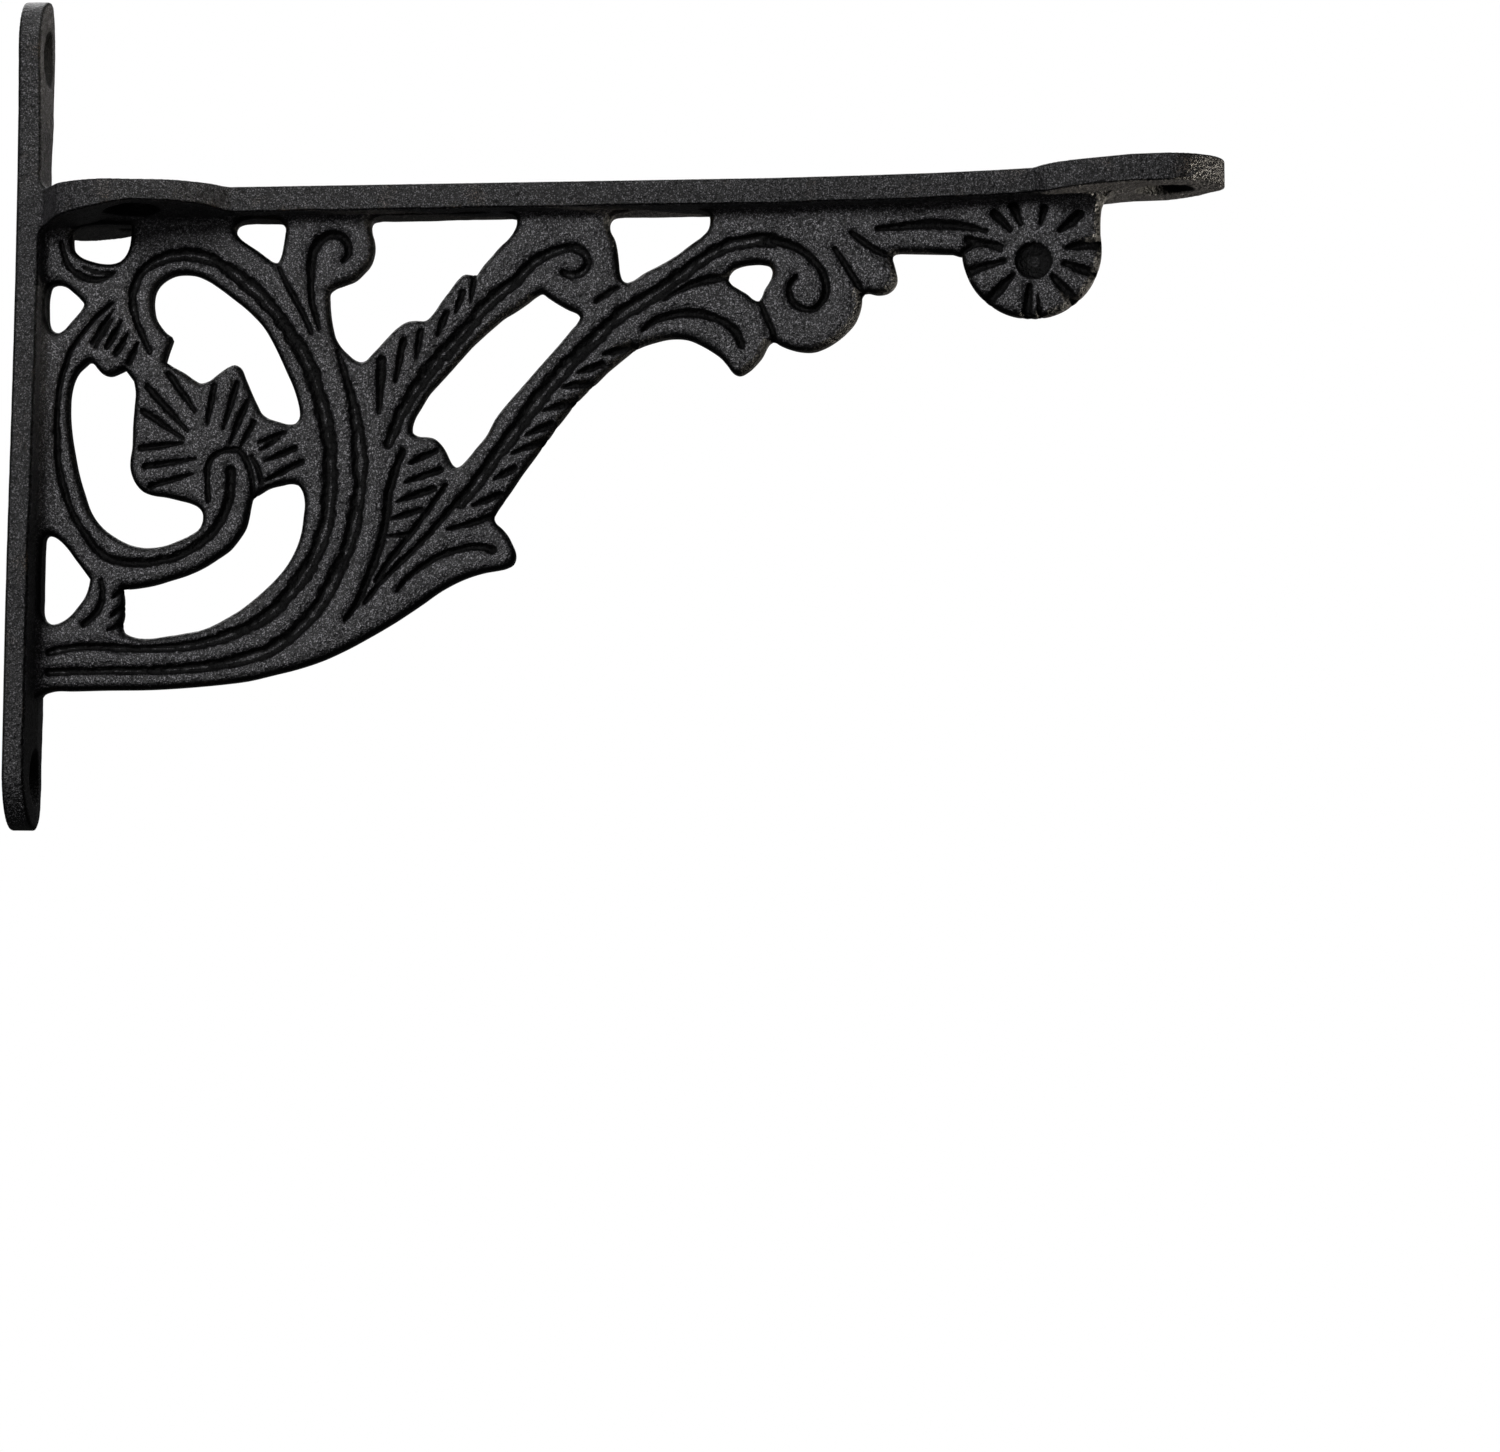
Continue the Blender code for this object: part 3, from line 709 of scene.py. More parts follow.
@dataclass(frozen=True)
class Dimple:
    """The bowl in the rosette: part of a ball, with painted shade strongest along a ring inside its
    rim.
    """

    centre: tuple = (210.7, -13.6)
    radius: float = 3.9
    ball: float = 4.05
    depth: float = 1.9
    painted_shade: float = 0.24
    ring_shade: float = 0.5
    ring_radius: float = 2.8
    ring_width: float = 0.9

    def press(self, u: Array, v: Array) -> tuple[Array, Array]:
        """Works out the bowl.

        Args:
            u: first coordinates of the places wanted.
            v: their second coordinates.

        Returns:
            Its depth and its painted shade at each place, both 0 outside of it.
        """
        away = np.hypot(u - self.centre[0], v - self.centre[1])
        bowl = self.depth * np.sqrt(np.clip(1 - (away / self.ball) ** 2, 0, 1))
        ring = np.exp(-(((away - self.ring_radius) / self.ring_width) ** 2))
        inside = away < self.radius
        # painted shade in the bowl, strongest along the ring
        return np.where(inside, bowl, 0), np.where(inside, self.painted_shade + self.ring_shade * ring, 0)


@dataclass(frozen=True)
class Web:
    """The scroll panel: outline, openings and carving, meshed as two halves that meet at Y = 0."""

    half: float = 3.25
    fuller: float = 0.22
    edge_round: float = 1.5
    draft: float = 0.05
    crown: float = 0.9
    crown_reach: float = 3.6
    wider: float = 1.25
    deeper: float = 1.75
    fillet: float = 1.7
    bare_fillet: float = 0.6
    lumps: tuple = ((0.05, 9, 7), (0.022, 2.2, 17))
    low: tuple = (1.0, -108.0)
    high: tuple = (230.0, 3.4)
    step: float = 0.36
    rosette: tuple = (210.2, -10.9)
    rosette_radius: float = 14.2
    rosette_arc: tuple = (186, 372)
    spokes_from: tuple = (210.5, -12.0)
    spoke_taper: tuple = (0.5, 0.9, 1.0)
    spoke_depth: float = 1.1
    nick_taper: tuple = (1.0, 1.0, 0.45)
    nick_depth: float = 1.05
    dimple: Dimple = Dimple()
    outline_step: float = 0.5
    corner_step: float = 0.4
    plate_under: float = -5.6
    wall_front: float = 5.25
    # The curve from the rosette up to the arm, and the line that runs back inside the two plates.
    tip_corner: Points = ((224.1, -4.4), (224.4, -2.0), (225.2, -0.3), (226.8, 0.9, 1))
    hidden: Points = ((227.8, 1.4), (228.2, 2.9), (165.0, 0.0), (2.0, -3.0))

    lower_edge: Points = (
        (2.0, -105.6, 1), (5.6, -105.0), (6.6, -104.0), (8.6, -103.3), (12.5, -103.2),
        (19.2, -103.0), (29.2, -102.8), (39.2, -102.1), (44.2, -101.6), (49.2, -100.9),
        (54.2, -99.7), (59.3, -98.4), (64.3, -96.7), (69.3, -94.4), (74.4, -91.6), (79.4, -88.6),
        (84.4, -85.2), (89.4, -81.7), (94.6, -79.2), (98.4, -78.1), (100.2, -77.8), (102.3, -77.3),
        (103.7, -76.5), (104.1, -75.4), (104.0, -74.2), (103.4, -72.8), (102.4, -70.9),
        (101.1, -69.4), (99.9, -68.3), (99.5, -67.2), (99.9, -66.0), (101.6, -63.4), (105.4, -57.6),
        (109.4, -52.1), (113.4, -46.5), (117.4, -41.6), (119.8, -39.3), (122.5, -36.6),
        (124.9, -34.5), (127.5, -32.5), (129.5, -31.2), (132.0, -30.3), (136.6, -29.4),
        (139.6, -29.7), (142.0, -30.7), (144.3, -32.0), (146.4, -33.5), (147.9, -35.2),
        (149.1, -36.7), (150.0, -37.1), (151.8, -36.3), (153.4, -34.8), (154.8, -33.0),
        (155.5, -31.5), (156.2, -30.5), (157.2, -30.1), (158.4, -30.7), (160.4, -31.5),
        (163.0, -32.1), (165.4, -32.1), (167.7, -31.3), (170.0, -29.9), (172.0, -28.2),
        (173.7, -26.2), (174.5, -24.4), (175.0, -22.5), (175.4, -20.4), (176.4, -19.9),
        (178.4, -20.2), (180.4, -19.9), (181.7, -18.9), (182.3, -17.6), (182.0, -15.6),
        (181.5, -13.7), (181.3, -12.6), (181.9, -11.8), (183.2, -11.5, 1), (194.0, -11.7, 1),
        (195.6, -12.3, 1),
    )
    openings: tuple = (
        ((10.8, -10.2), (10.8, -8.6), (11.4, -7.2), (12.8, -6.5), (15.0, -6.2), (23.4, -6.1, 1),
         (23.3, -8.9), (23.0, -11.0), (22.2, -12.8), (21.0, -14.0), (19.5, -14.5), (17.3, -14.5),
         (15.0, -14.0), (12.4, -12.9), (11.0, -11.4)),
        ((5.8, -20.4), (6.5, -18.9), (7.8, -18.4), (9.5, -18.7), (11.3, -20.0), (12.9, -21.5),
         (13.8, -22.8), (13.3, -24.0), (12.3, -25.3), (11.0, -26.8), (9.7, -28.3), (8.4, -29.0),
         (7.0, -28.5), (6.0, -27.0), (5.6, -24.0)),
        ((14.9, -34.6), (13.9, -35.4), (12.4, -36.9), (11.6, -38.5), (11.0, -40.9), (10.8, -45.2),
         (11.4, -51.2), (11.9, -53.9), (12.9, -58.5), (14.2, -62.6), (15.6, -66.3), (18.2, -69.7),
         (21.1, -71.8), (24.0, -73.2), (26.7, -73.8), (29.0, -73.8), (31.7, -73.3), (34.3, -72.3),
         (37.0, -71.0), (38.7, -69.7), (39.4, -68.0), (39.3, -66.2), (38.3, -64.9), (36.5, -64.0),
         (34.2, -63.4), (31.2, -62.7), (28.4, -62.3), (26.8, -61.7), (25.3, -60.2), (24.5, -58.6),
         (24.1, -57.0), (24.1, -55.3), (24.4, -53.0), (24.5, -48.3), (24.7, -44.7), (24.9, -41.0),
         (24.5, -38.8, 1), (22.5, -36.2, 1), (20.8, -37.0), (19.5, -37.5), (18.0, -37.2),
         (16.9, -36.2), (15.8, -34.9)),
        ((29.2, -18.4), (30.5, -17.3), (32.5, -16.4), (34.5, -16.2), (36.7, -16.4), (39.2, -17.4),
         (42.0, -19.2), (44.8, -21.3), (47.0, -23.0), (49.0, -24.8), (51.3, -27.3), (53.0, -30.0),
         (54.7, -33.3), (56.3, -36.7), (57.8, -40.0), (58.7, -42.7), (59.2, -45.0), (59.2, -46.5),
         (58.3, -47.8), (56.7, -48.0), (54.7, -47.5), (52.3, -46.7), (50.9, -45.7), (49.8, -43.7),
         (48.5, -41.0), (47.2, -38.0), (46.3, -36.1), (45.4, -35.6), (44.2, -36.0), (42.3, -37.3),
         (40.0, -39.0), (38.3, -39.5), (36.7, -38.7), (34.7, -37.3), (32.3, -36.0),
         (30.6, -34.9, 1),
         (31.2, -32.8), (32.2, -29.9, 1), (30.7, -28.9), (29.5, -27.5), (28.5, -25.9),
         (28.0, -23.8), (27.9, -21.8), (28.2, -20.1)),
        ((44.8, -7.6), (45.2, -6.2), (46.3, -5.4), (48.0, -5.1), (52.5, -5.1), (54.6, -5.4),
         (55.6, -6.6), (55.5, -8.5), (55.2, -10.7), (54.7, -13.0), (54.0, -14.2), (53.2, -14.2),
         (51.7, -13.3), (49.7, -11.8), (47.4, -10.3), (45.6, -8.9)),
        ((7.0, -70.9), (8.2, -71.1), (9.6, -72.0), (11.1, -73.5), (13.0, -76.0), (14.7, -78.2),
         (16.2, -80.2, 1), (15.9, -82.0), (15.2, -84.0), (13.7, -86.2), (12.0, -88.2),
         (10.0, -89.5), (8.3, -89.9), (6.9, -89.2), (6.1, -87.8), (5.9, -84.0), (5.9, -77.3),
         (6.0, -73.3), (6.2, -71.7)),
        ((22.7, -82.1, 1), (25.9, -81.7), (29.2, -81.1), (32.5, -80.1), (35.9, -79.0),
         (39.2, -77.5), (42.2, -75.6), (44.9, -73.6), (46.5, -71.6), (47.9, -69.3), (48.5, -67.0),
         (48.9, -64.6), (49.2, -63.3, 1), (50.9, -62.0), (52.9, -60.8), (55.2, -60.2),
         (57.5, -59.8), (59.0, -60.2), (60.0, -61.6), (60.6, -64.3), (60.4, -67.0), (60.0, -70.3),
         (59.0, -73.7), (57.3, -77.0), (55.0, -80.0), (52.3, -82.7), (49.3, -85.3), (47.0, -87.0),
         (45.0, -88.2), (42.3, -89.7), (40.0, -90.7), (36.0, -91.6), (31.7, -92.3), (29.0, -92.7),
         (26.7, -92.7), (24.5, -92.2), (23.0, -91.3), (22.7, -89.7), (23.0, -87.2), (22.9, -84.5)),
        ((73.1, -5.9), (73.6, -5.0), (75.0, -4.5), (80.0, -4.3), (95.0, -4.0), (102.2, -3.9),
         (103.6, -4.4), (103.8, -5.8), (103.2, -7.5), (102.0, -9.2), (100.3, -10.8), (98.7, -12.7),
         (97.0, -14.7), (95.7, -16.6, 1), (94.0, -16.7), (93.0, -16.6), (91.7, -17.7),
         (90.0, -20.0), (88.3, -22.3), (86.7, -24.7), (85.0, -26.3), (83.0, -26.3), (81.0, -26.6),
         (79.3, -27.7), (77.3, -29.7), (75.7, -31.5), (74.0, -33.3), (72.7, -34.7), (71.6, -35.0),
         (70.2, -34.5), (68.6, -33.2), (66.9, -31.4), (66.0, -29.9), (65.3, -27.5), (64.8, -24.6),
         (64.6, -22.0), (64.7, -20.0), (65.6, -19.2), (67.6, -18.4), (70.0, -17.4), (71.6, -15.9),
         (73.0, -14.2), (73.6, -12.5), (73.8, -11.0), (73.6, -9.2), (73.1, -7.5)),
        ((108.9, -20.0), (110.3, -20.9), (112.0, -22.0), (114.3, -23.3), (116.7, -24.5),
         (117.2, -25.3), (116.7, -26.5), (115.3, -28.2), (113.3, -30.7), (110.7, -33.7),
         (108.0, -36.8), (105.3, -40.0), (102.7, -43.0), (100.0, -46.5), (98.0, -50.3),
         (96.0, -52.8), (94.0, -55.3), (92.8, -56.5), (91.8, -56.9), (90.8, -56.3), (90.0, -55.0),
         (89.3, -53.5), (88.2, -51.9), (87.0, -50.9), (85.7, -50.6), (83.6, -50.4), (82.3, -49.5),
         (82.2, -48.2), (82.7, -46.4), (84.1, -43.9), (85.7, -41.2), (87.7, -38.9), (90.1, -36.2),
         (92.1, -33.9), (94.7, -31.0), (97.1, -28.7), (99.1, -26.9), (101.1, -25.2),
         (103.1, -24.0), (105.7, -22.2), (107.9, -20.5)),
        ((122.9, -5.0), (123.8, -4.0), (125.3, -3.7), (142.2, -3.2), (143.6, -3.7), (143.9, -5.2),
         (143.5, -7.1), (142.3, -8.5), (140.0, -10.2), (137.0, -12.5), (133.7, -14.5),
         (130.3, -16.3), (127.7, -18.0), (126.4, -18.3), (125.4, -17.6), (124.9, -16.3),
         (124.5, -13.4), (124.2, -11.1), (123.7, -9.1), (122.8, -7.4), (122.6, -6.0)),
        ((147.4, -17.2), (147.6, -16.5), (148.6, -15.0), (150.1, -14.3), (152.3, -13.9),
         (154.8, -13.9), (156.2, -14.3), (156.9, -15.4), (156.8, -16.9), (156.2, -18.2),
         (155.3, -19.7), (154.7, -21.3), (153.8, -22.1), (152.8, -21.8), (151.5, -20.7),
         (149.5, -19.5), (148.0, -18.4)),
    )
    strokes: tuple = (
        # trunk, inner channel with its hooked top
        Stroke(Cut.CHANNEL, (0.8, 2.0, 2.4, 2.5, 2.5, 2.4, 1.4, 1.2), 1.35, (
            (27.8, -33.0), (26.3, -30.0), (24.7, -26.0), (23.8, -22.0), (24.5, -18.5),
            (26.3, -15.6), (29.0, -13.7), (33.0, -12.7), (37.0, -12.7), (41.0, -14.0),
            (45.0, -16.5), (50.0, -20.6), (53.8, -24.7), (57.0, -29.2), (60.0, -34.0),
            (62.0, -38.5), (63.6, -43.5), (64.8, -48.5), (65.4, -52.0), (65.7, -56.0),
            (65.8, -61.0), (65.5, -66.0), (64.5, -70.5), (62.8, -75.0), (60.5, -79.5),
            (57.5, -83.5), (54.0, -87.0), (49.5, -90.0), (46.0, -91.6), (41.0, -93.3),
            (35.0, -94.4), (28.0, -94.8), (22.0, -94.6), (17.0, -94.4), (12.0, -94.8),
            (8.0, -95.6))),
        # trunk, outer channel
        Stroke(Cut.CHANNEL, (0.7, 2.2, 2.4, 2.4, 2.3, 1.8, 1.3, 1.2), 1.35, (
            (66.8, -32.5), (68.3, -37.0), (69.6, -41.5), (70.7, -46.0), (71.5, -51.0),
            (71.9, -56.0), (71.8, -61.0), (71.4, -65.5), (70.6, -70.0), (69.2, -74.7),
            (67.3, -79.3), (65.0, -83.8), (62.0, -88.0), (58.5, -91.7), (54.5, -94.5),
            (50.0, -96.3), (45.0, -97.6), (40.0, -98.4), (34.0, -99.0), (27.0, -99.3),
            (18.0, -99.4), (8.0, -99.8))),
        # top curl and bract
        Stroke(Cut.GROOVE, (0.8, 1.6, 2.1, 2.0, 1.4), 1.35, (
            (63.0, -28.0), (62.0, -25.0), (61.2, -21.5), (61.0, -17.0), (61.2, -13.0),
            (62.2, -10.3), (64.2, -8.6), (66.5, -8.4), (68.4, -9.9), (68.8, -12.0),
            (67.8, -13.7))),
        Stroke(Cut.NICK, (0.8, 1.4, 1.0), 1.0, (
            (54.3, -15.2), (56.2, -19.0), (58.2, -22.5), (60.3, -26.5), (61.3, -28.8))),
        # middle branch and its curl
        Stroke(Cut.CHANNEL, (1.6, 2.3, 2.5, 2.4, 2.0, 1.5, 1.2), 1.35, (
            (77.8, -52.0), (78.5, -50.0), (80.5, -45.0), (83.3, -40.3), (87.0, -35.3),
            (91.0, -30.8), (95.0, -26.0), (97.0, -23.5), (101.0, -20.0), (104.5, -17.0),
            (107.5, -14.0), (111.0, -12.0), (115.0, -11.0), (118.0, -12.2), (118.5, -14.2),
            (117.3, -16.1), (115.0, -16.8), (113.5, -16.2))),
        # outer stem and spiral
        Stroke(Cut.CHANNEL, (1.8, 2.5, 2.7, 2.6, 2.4, 2.2, 2.0), 1.4, (
            (93.0, -64.3), (96.0, -60.3), (99.0, -56.0), (102.0, -51.8), (107.0, -45.0),
            (111.0, -39.7), (115.5, -34.7), (120.0, -30.2), (124.0, -26.3), (128.3, -23.2),
            (133.0, -20.2), (138.0, -16.6), (141.5, -13.9), (145.0, -11.7), (149.0, -10.2),
            (153.0, -9.4), (157.0, -9.4))),
        Stroke(Cut.GROOVE, (2.0, 2.0, 1.8, 1.4, 1.1), 1.35, (
            (155.5, -9.3), (157.0, -9.4), (161.0, -10.6), (164.5, -12.8), (167.0, -15.8),
            (168.0, -19.0), (167.3, -22.0), (165.0, -23.8), (162.3, -23.3), (160.5, -21.2),
            (160.4, -18.6), (161.7, -16.8))),
        # band on the wall side
        Stroke(Cut.GROOVE, (1.0, 1.2, 1.3, 1.6, 1.8, 2.0, 2.2, 2.0), 1.2, (
            (19.7, -22.7), (16.0, -26.0), (13.5, -29.3), (11.3, -32.5), (10.0, -36.0),
            (9.0, -40.0), (8.6, -44.0), (8.5, -48.0), (8.6, -51.0), (9.0, -56.0), (10.0, -60.5),
            (11.3, -64.5), (13.0, -68.0), (15.0, -71.0), (17.3, -74.0), (20.0, -76.0),
            (23.5, -76.8), (27.0, -76.8), (31.0, -76.3), (35.0, -75.2), (38.5, -73.0),
            (41.3, -70.5), (43.3, -67.5), (44.6, -64.0), (45.0, -61.0), (44.9, -57.5))),
        # lines of the hook around the leaf
        Stroke(Cut.NICK, (1.0, 1.3, 1.2, 1.0), 1.0, (
            (40.5, -64.0), (40.3, -61.0), (40.3, -56.7), (41.0, -55.0), (42.3, -54.0),
            (44.3, -53.3), (46.7, -53.5), (48.3, -55.7), (49.3, -58.5), (49.7, -62.5))),
        Stroke(Cut.NICK, (0.8, 1.1, 0.8), 0.9, ((49.3, -54.7), (50.7, -57.3), (51.5, -60.3))),
        # under the first opening
        Stroke(Cut.GROOVE, (0.8, 1.3, 1.4, 1.2, 0.8), 1.0, (
            (8.7, -10.0), (9.3, -12.5), (10.3, -14.8), (12.3, -16.6), (15.0, -17.8),
            (17.5, -17.7), (20.0, -16.3))),
        Stroke(Cut.NICK, (0.6, 0.9, 0.6), 0.6, ((13.5, -15.2), (16.0, -16.2), (19.0, -16.5))),
        # strut between two openings
        Stroke(Cut.GROOVE, (1.0, 1.5, 1.4), 1.1, (
            (18.4, -80.5), (18.8, -83.5), (18.2, -86.3), (16.5, -88.5), (15.0, -89.7))),
        # feather leaf boundaries
        Stroke(Cut.GROOVE, (1.6, 2.0, 1.9, 1.6, 1.0), 1.25, (
            (80.6, -53.5), (79.0, -58.0), (78.0, -62.0), (77.5, -67.0), (76.5, -72.0),
            (75.0, -77.0), (73.5, -81.0), (72.0, -84.5), (69.3, -88.7))),
        Stroke(Cut.GROOVE, (1.0, 1.3, 1.3, 1.0), 1.1, (
            (89.8, -60.5), (86.0, -66.0), (82.0, -71.5), (78.5, -76.0), (75.5, -80.5))),
        Stroke(Cut.GROOVE, (1.0, 1.3, 1.3, 1.0), 1.1, (
            (95.0, -60.3), (91.0, -65.2), (87.5, -69.5), (83.5, -73.8), (79.5, -77.7),
            (76.0, -81.5), (73.3, -85.0))),
        # bottom leaf and the wedge above it
        Stroke(Cut.GROOVE, (1.4, 1.5, 0.8), 1.1, ((99.0, -67.0), (94.5, -68.6), (90.5, -69.7))),
        Stroke(Cut.GROOVE, (1.8, 1.6, 1.2, 0.8), 1.1, (
            (99.7, -74.0), (96.5, -73.3), (92.5, -74.0), (88.5, -75.3), (85.0, -77.5),
            (82.0, -80.0), (80.0, -82.5))),
        # leaves along the outer stem
        Stroke(Cut.NICK, (0.8, 1.3, 0.9), 0.9, ((120.3, -22.3), (122.8, -20.6), (125.0, -19.2))),
        Stroke(Cut.GROOVE, (0.8, 1.4, 1.9, 1.8), 1.1, (
            (134.5, -21.7), (138.0, -19.6), (142.0, -18.0), (147.5, -17.0))),
        Stroke(Cut.GROOVE, (0.8, 1.6, 2.0, 2.0, 1.8, 1.6), 1.2, (
            (130.0, -28.2), (133.0, -26.0), (137.0, -24.8), (141.0, -24.6), (144.5, -25.3),
            (147.7, -27.0), (150.0, -29.5), (150.7, -31.3))),
        Stroke(Cut.GROOVE, (0.9, 1.3, 1.3, 1.2), 1.1, (
            (154.5, -22.5), (155.5, -25.0), (156.8, -28.0), (157.7, -30.9))),
        # lumps beside the spiral, neck and the rosette's shoulder
        Stroke(Cut.GROOVE, (1.0, 1.6, 1.6, 1.4), 1.2, (
            (169.5, -11.0), (171.3, -13.7), (173.3, -16.7), (174.8, -19.3), (175.4, -21.0))),
        Stroke(Cut.GROOVE, (1.0, 1.6, 1.5, 1.4), 1.2, (
            (173.0, -7.7), (175.7, -9.8), (178.7, -11.7), (181.3, -12.8))),
        Stroke(Cut.GROOVE, (1.0, 1.8, 2.1, 2.0, 1.0), 1.1, (
            (178.5, -6.9), (182.0, -6.6), (187.0, -6.1), (192.0, -6.1), (196.5, -6.5),
            (201.0, -7.5))),
        Stroke(Cut.GROOVE, (1.0, 1.4, 1.4, 0.8), 1.1, (
            (196.0, -11.7), (198.5, -10.3), (201.0, -10.2), (204.0, -11.5))),
    )
    # Straight nicks as (start u, start v, end u, end v, width) on lobes, feather, stem and leaf.
    nicks: tuple = (
        (76.0, -34.5, 75.7, -45.5, 1.8), (80.5, -30.3, 79.0, -39.0, 1.4),
        (84.0, -28.5, 83.2, -34.2, 1.3), (89.3, -24.7, 87.6, -29.3, 1.5),
        (92.7, -20.3, 91.3, -24.5, 1.5), (95.0, -17.0, 94.4, -22.5, 1.2),
        (87.7, -53.3, 82.3, -56.0, 1.4), (88.7, -57.3, 81.5, -60.0, 1.4),
        (87.3, -61.3, 79.7, -64.0, 1.4), (84.7, -65.7, 78.3, -67.7, 1.3),
        (82.7, -70.7, 77.5, -71.3, 1.2),
        (101.0, -62.5, 95.5, -64.7, 1.5), (104.0, -57.0, 99.8, -59.3, 1.5),
        (110.0, -51.3, 103.5, -53.8, 1.5), (111.5, -47.8, 106.3, -50.0, 1.5),
        (116.0, -43.0, 109.8, -45.0, 1.5), (118.8, -39.3, 113.7, -40.0, 1.5),
        (121.8, -35.3, 116.8, -37.1, 1.5), (128.0, -31.5, 122.0, -33.2, 1.5),
        (27.3, -40.2, 36.0, -49.5, 1.3), (26.5, -45.2, 35.0, -51.0, 1.3),
        (31.7, -37.5, 37.5, -45.5, 1.3), (41.2, -40.0, 40.0, -48.0, 1.3),
        (46.0, -39.3, 43.3, -49.0, 1.3), (48.3, -43.0, 44.7, -52.0, 1.3),
        (49.7, -47.5, 46.8, -53.0, 1.2), (26.0, -53.0, 35.0, -52.0, 1.3),
        (27.3, -56.8, 37.7, -55.2, 1.3), (28.3, -61.0, 37.3, -58.3, 1.3),
        (56.0, -49.7, 50.7, -51.8, 1.1), (54.7, -51.0, 51.3, -53.3, 1.0),
        (58.3, -53.0, 52.0, -55.7, 1.2), (59.7, -55.8, 52.2, -59.7, 1.2),
        (15.7, -31.0, 20.0, -24.0, 1.2), (16.3, -32.0, 19.7, -26.3, 1.0),
        (18.7, -32.0, 21.7, -26.5, 1.2), (20.7, -33.3, 23.0, -29.3, 1.2),
        (23.3, -35.3, 25.2, -31.0, 1.2),
        (23.3, -82.0, 21.0, -84.2, 1.2), (23.0, -86.0, 20.7, -88.0, 1.2),
        (23.3, -89.5, 20.0, -91.0, 1.2),
    )
    # Rosette cuts: angle, inner and outer radius, width at the rim.
    rosette_cuts: tuple = (
        (9.0, 7.2, 14.8, 2.5), (40.0, 7.2, 12.5, 2.0), (76.0, 6.3, 9.6, 1.5),
        (113.0, 6.4, 11.0, 1.9), (134.0, 6.6, 11.5, 1.8), (168.0, 6.6, 13.6, 1.9),
        (196.0, 6.0, 14.6, 2.2), (228.0, 6.0, 14.4, 2.2), (265.0, 6.8, 14.4, 2.1),
        (277.0, 9.0, 14.2, 1.0), (311.0, 6.4, 14.4, 2.3), (342.0, 6.8, 14.8, 2.5),
    )

    def outline(self) -> list[Array]:
        """The lower edge, the rosette's arc and a line hidden in the plates, then the openings."""
        lower = smooth(self.lower_edge, self.outline_step, closed=False)
        disc = arc(self.rosette, self.rosette_radius, *self.rosette_arc)
        corner = smooth(((*disc[-1], 1), *self.tip_corner), self.corner_step, closed=False)[1:]
        outer = np.concatenate([lower, disc, corner, self.hidden])
        return [outer] + [smooth(points, self.outline_step) for points in self.openings]

    def cuts(self) -> list[Stroke]:
        """Every carved line: the long strokes, the straight nicks and the rosette's spokes."""
        found = list(self.strokes)
        for a, b, c, d, width in self.nicks:
            widths = tuple(width * share for share in self.nick_taper)
            found.append(Stroke(Cut.NICK, widths, self.nick_depth, ((a, b), (c, d))))
        centre = np.array(self.spokes_from)
        for angle, inner, outer, width in self.rosette_cuts:
            out = np.array([np.cos(np.radians(angle)), np.sin(np.radians(angle))])
            widths = tuple(width * share for share in self.spoke_taper)
            found.append(Stroke(Cut.NICK, widths, self.spoke_depth,
                                (tuple(centre + out * inner), tuple(centre + out * outer))))
        return found

    def relief(self, grid: Grid, edge: Array, face: Face) -> tuple[Array, Array]:
        """Height of one face above the parting plane, and the painted shade in its carved lines.

        The face is flat with slight cast lumps, crowned so that it falls away towards the outline
        with the square of the distance, and rounded off towards its carved lines. It flares in a
        fillet where it meets either plate.

        Args:
            grid: the grid of the whole web.
            edge: the distance inside the outline.
            face: which of the two faces.

        Returns:
            The height, and the painted shade of the carved bed and the dimple from 0 to 1.
        """
        u, v = grid.both()
        dug, bed_shade = grid.carved(self.cuts(), self.wider)
        bowl, ring = self.dimple.press(u, v)
        # the dimple's painted shade joins that of the carved lines
        dug, bed_shade = np.maximum(dug * self.deeper, bowl), np.maximum(bed_shade, ring)
        crown = self.crown * (1 - np.clip(edge / self.crown_reach, 0, 1)) ** 2
        lumps = uneven(grid.shape, self.lumps, int(face is Face.FAR))
        under = self.plate_under + u * np.tan(RISE) + lift(u) - v
        flared = flare(under, self.fillet) + flare(u - self.wall_front, self.fillet)
        fade = np.clip(1 - flared / self.bare_fillet, 0, 1)
        # the painted shade fades out where the face flares into a fillet
        return self.half + lumps - (dug + crown) * fade + flared, bed_shade * fade

    def build(self, material: bpy.types.Material) -> list[bpy.types.Object]:
        """Makes both halves.

        Args:
            material: their finish.

        Returns:
            The near half, then the far one.
        """
        grid = Grid.over(self.low, self.high, self.step)
        edge = grid.signed(self.outline()) + self.fuller
        made = []
        for face in Face:
            top, bed_shade = self.relief(grid, edge, face)
            skin = Slab(grid, edge, top, bed_shade, None, self.edge_round, self.draft).skin()
            if face is Face.FAR:
                skin = skin.turned_over()
            u, v, height = skin.points.T
            at = np.stack([u, face.value * height, v], 1)
            made.append(skin.make(f"web_{face.name.lower()}", at, material))
        return made


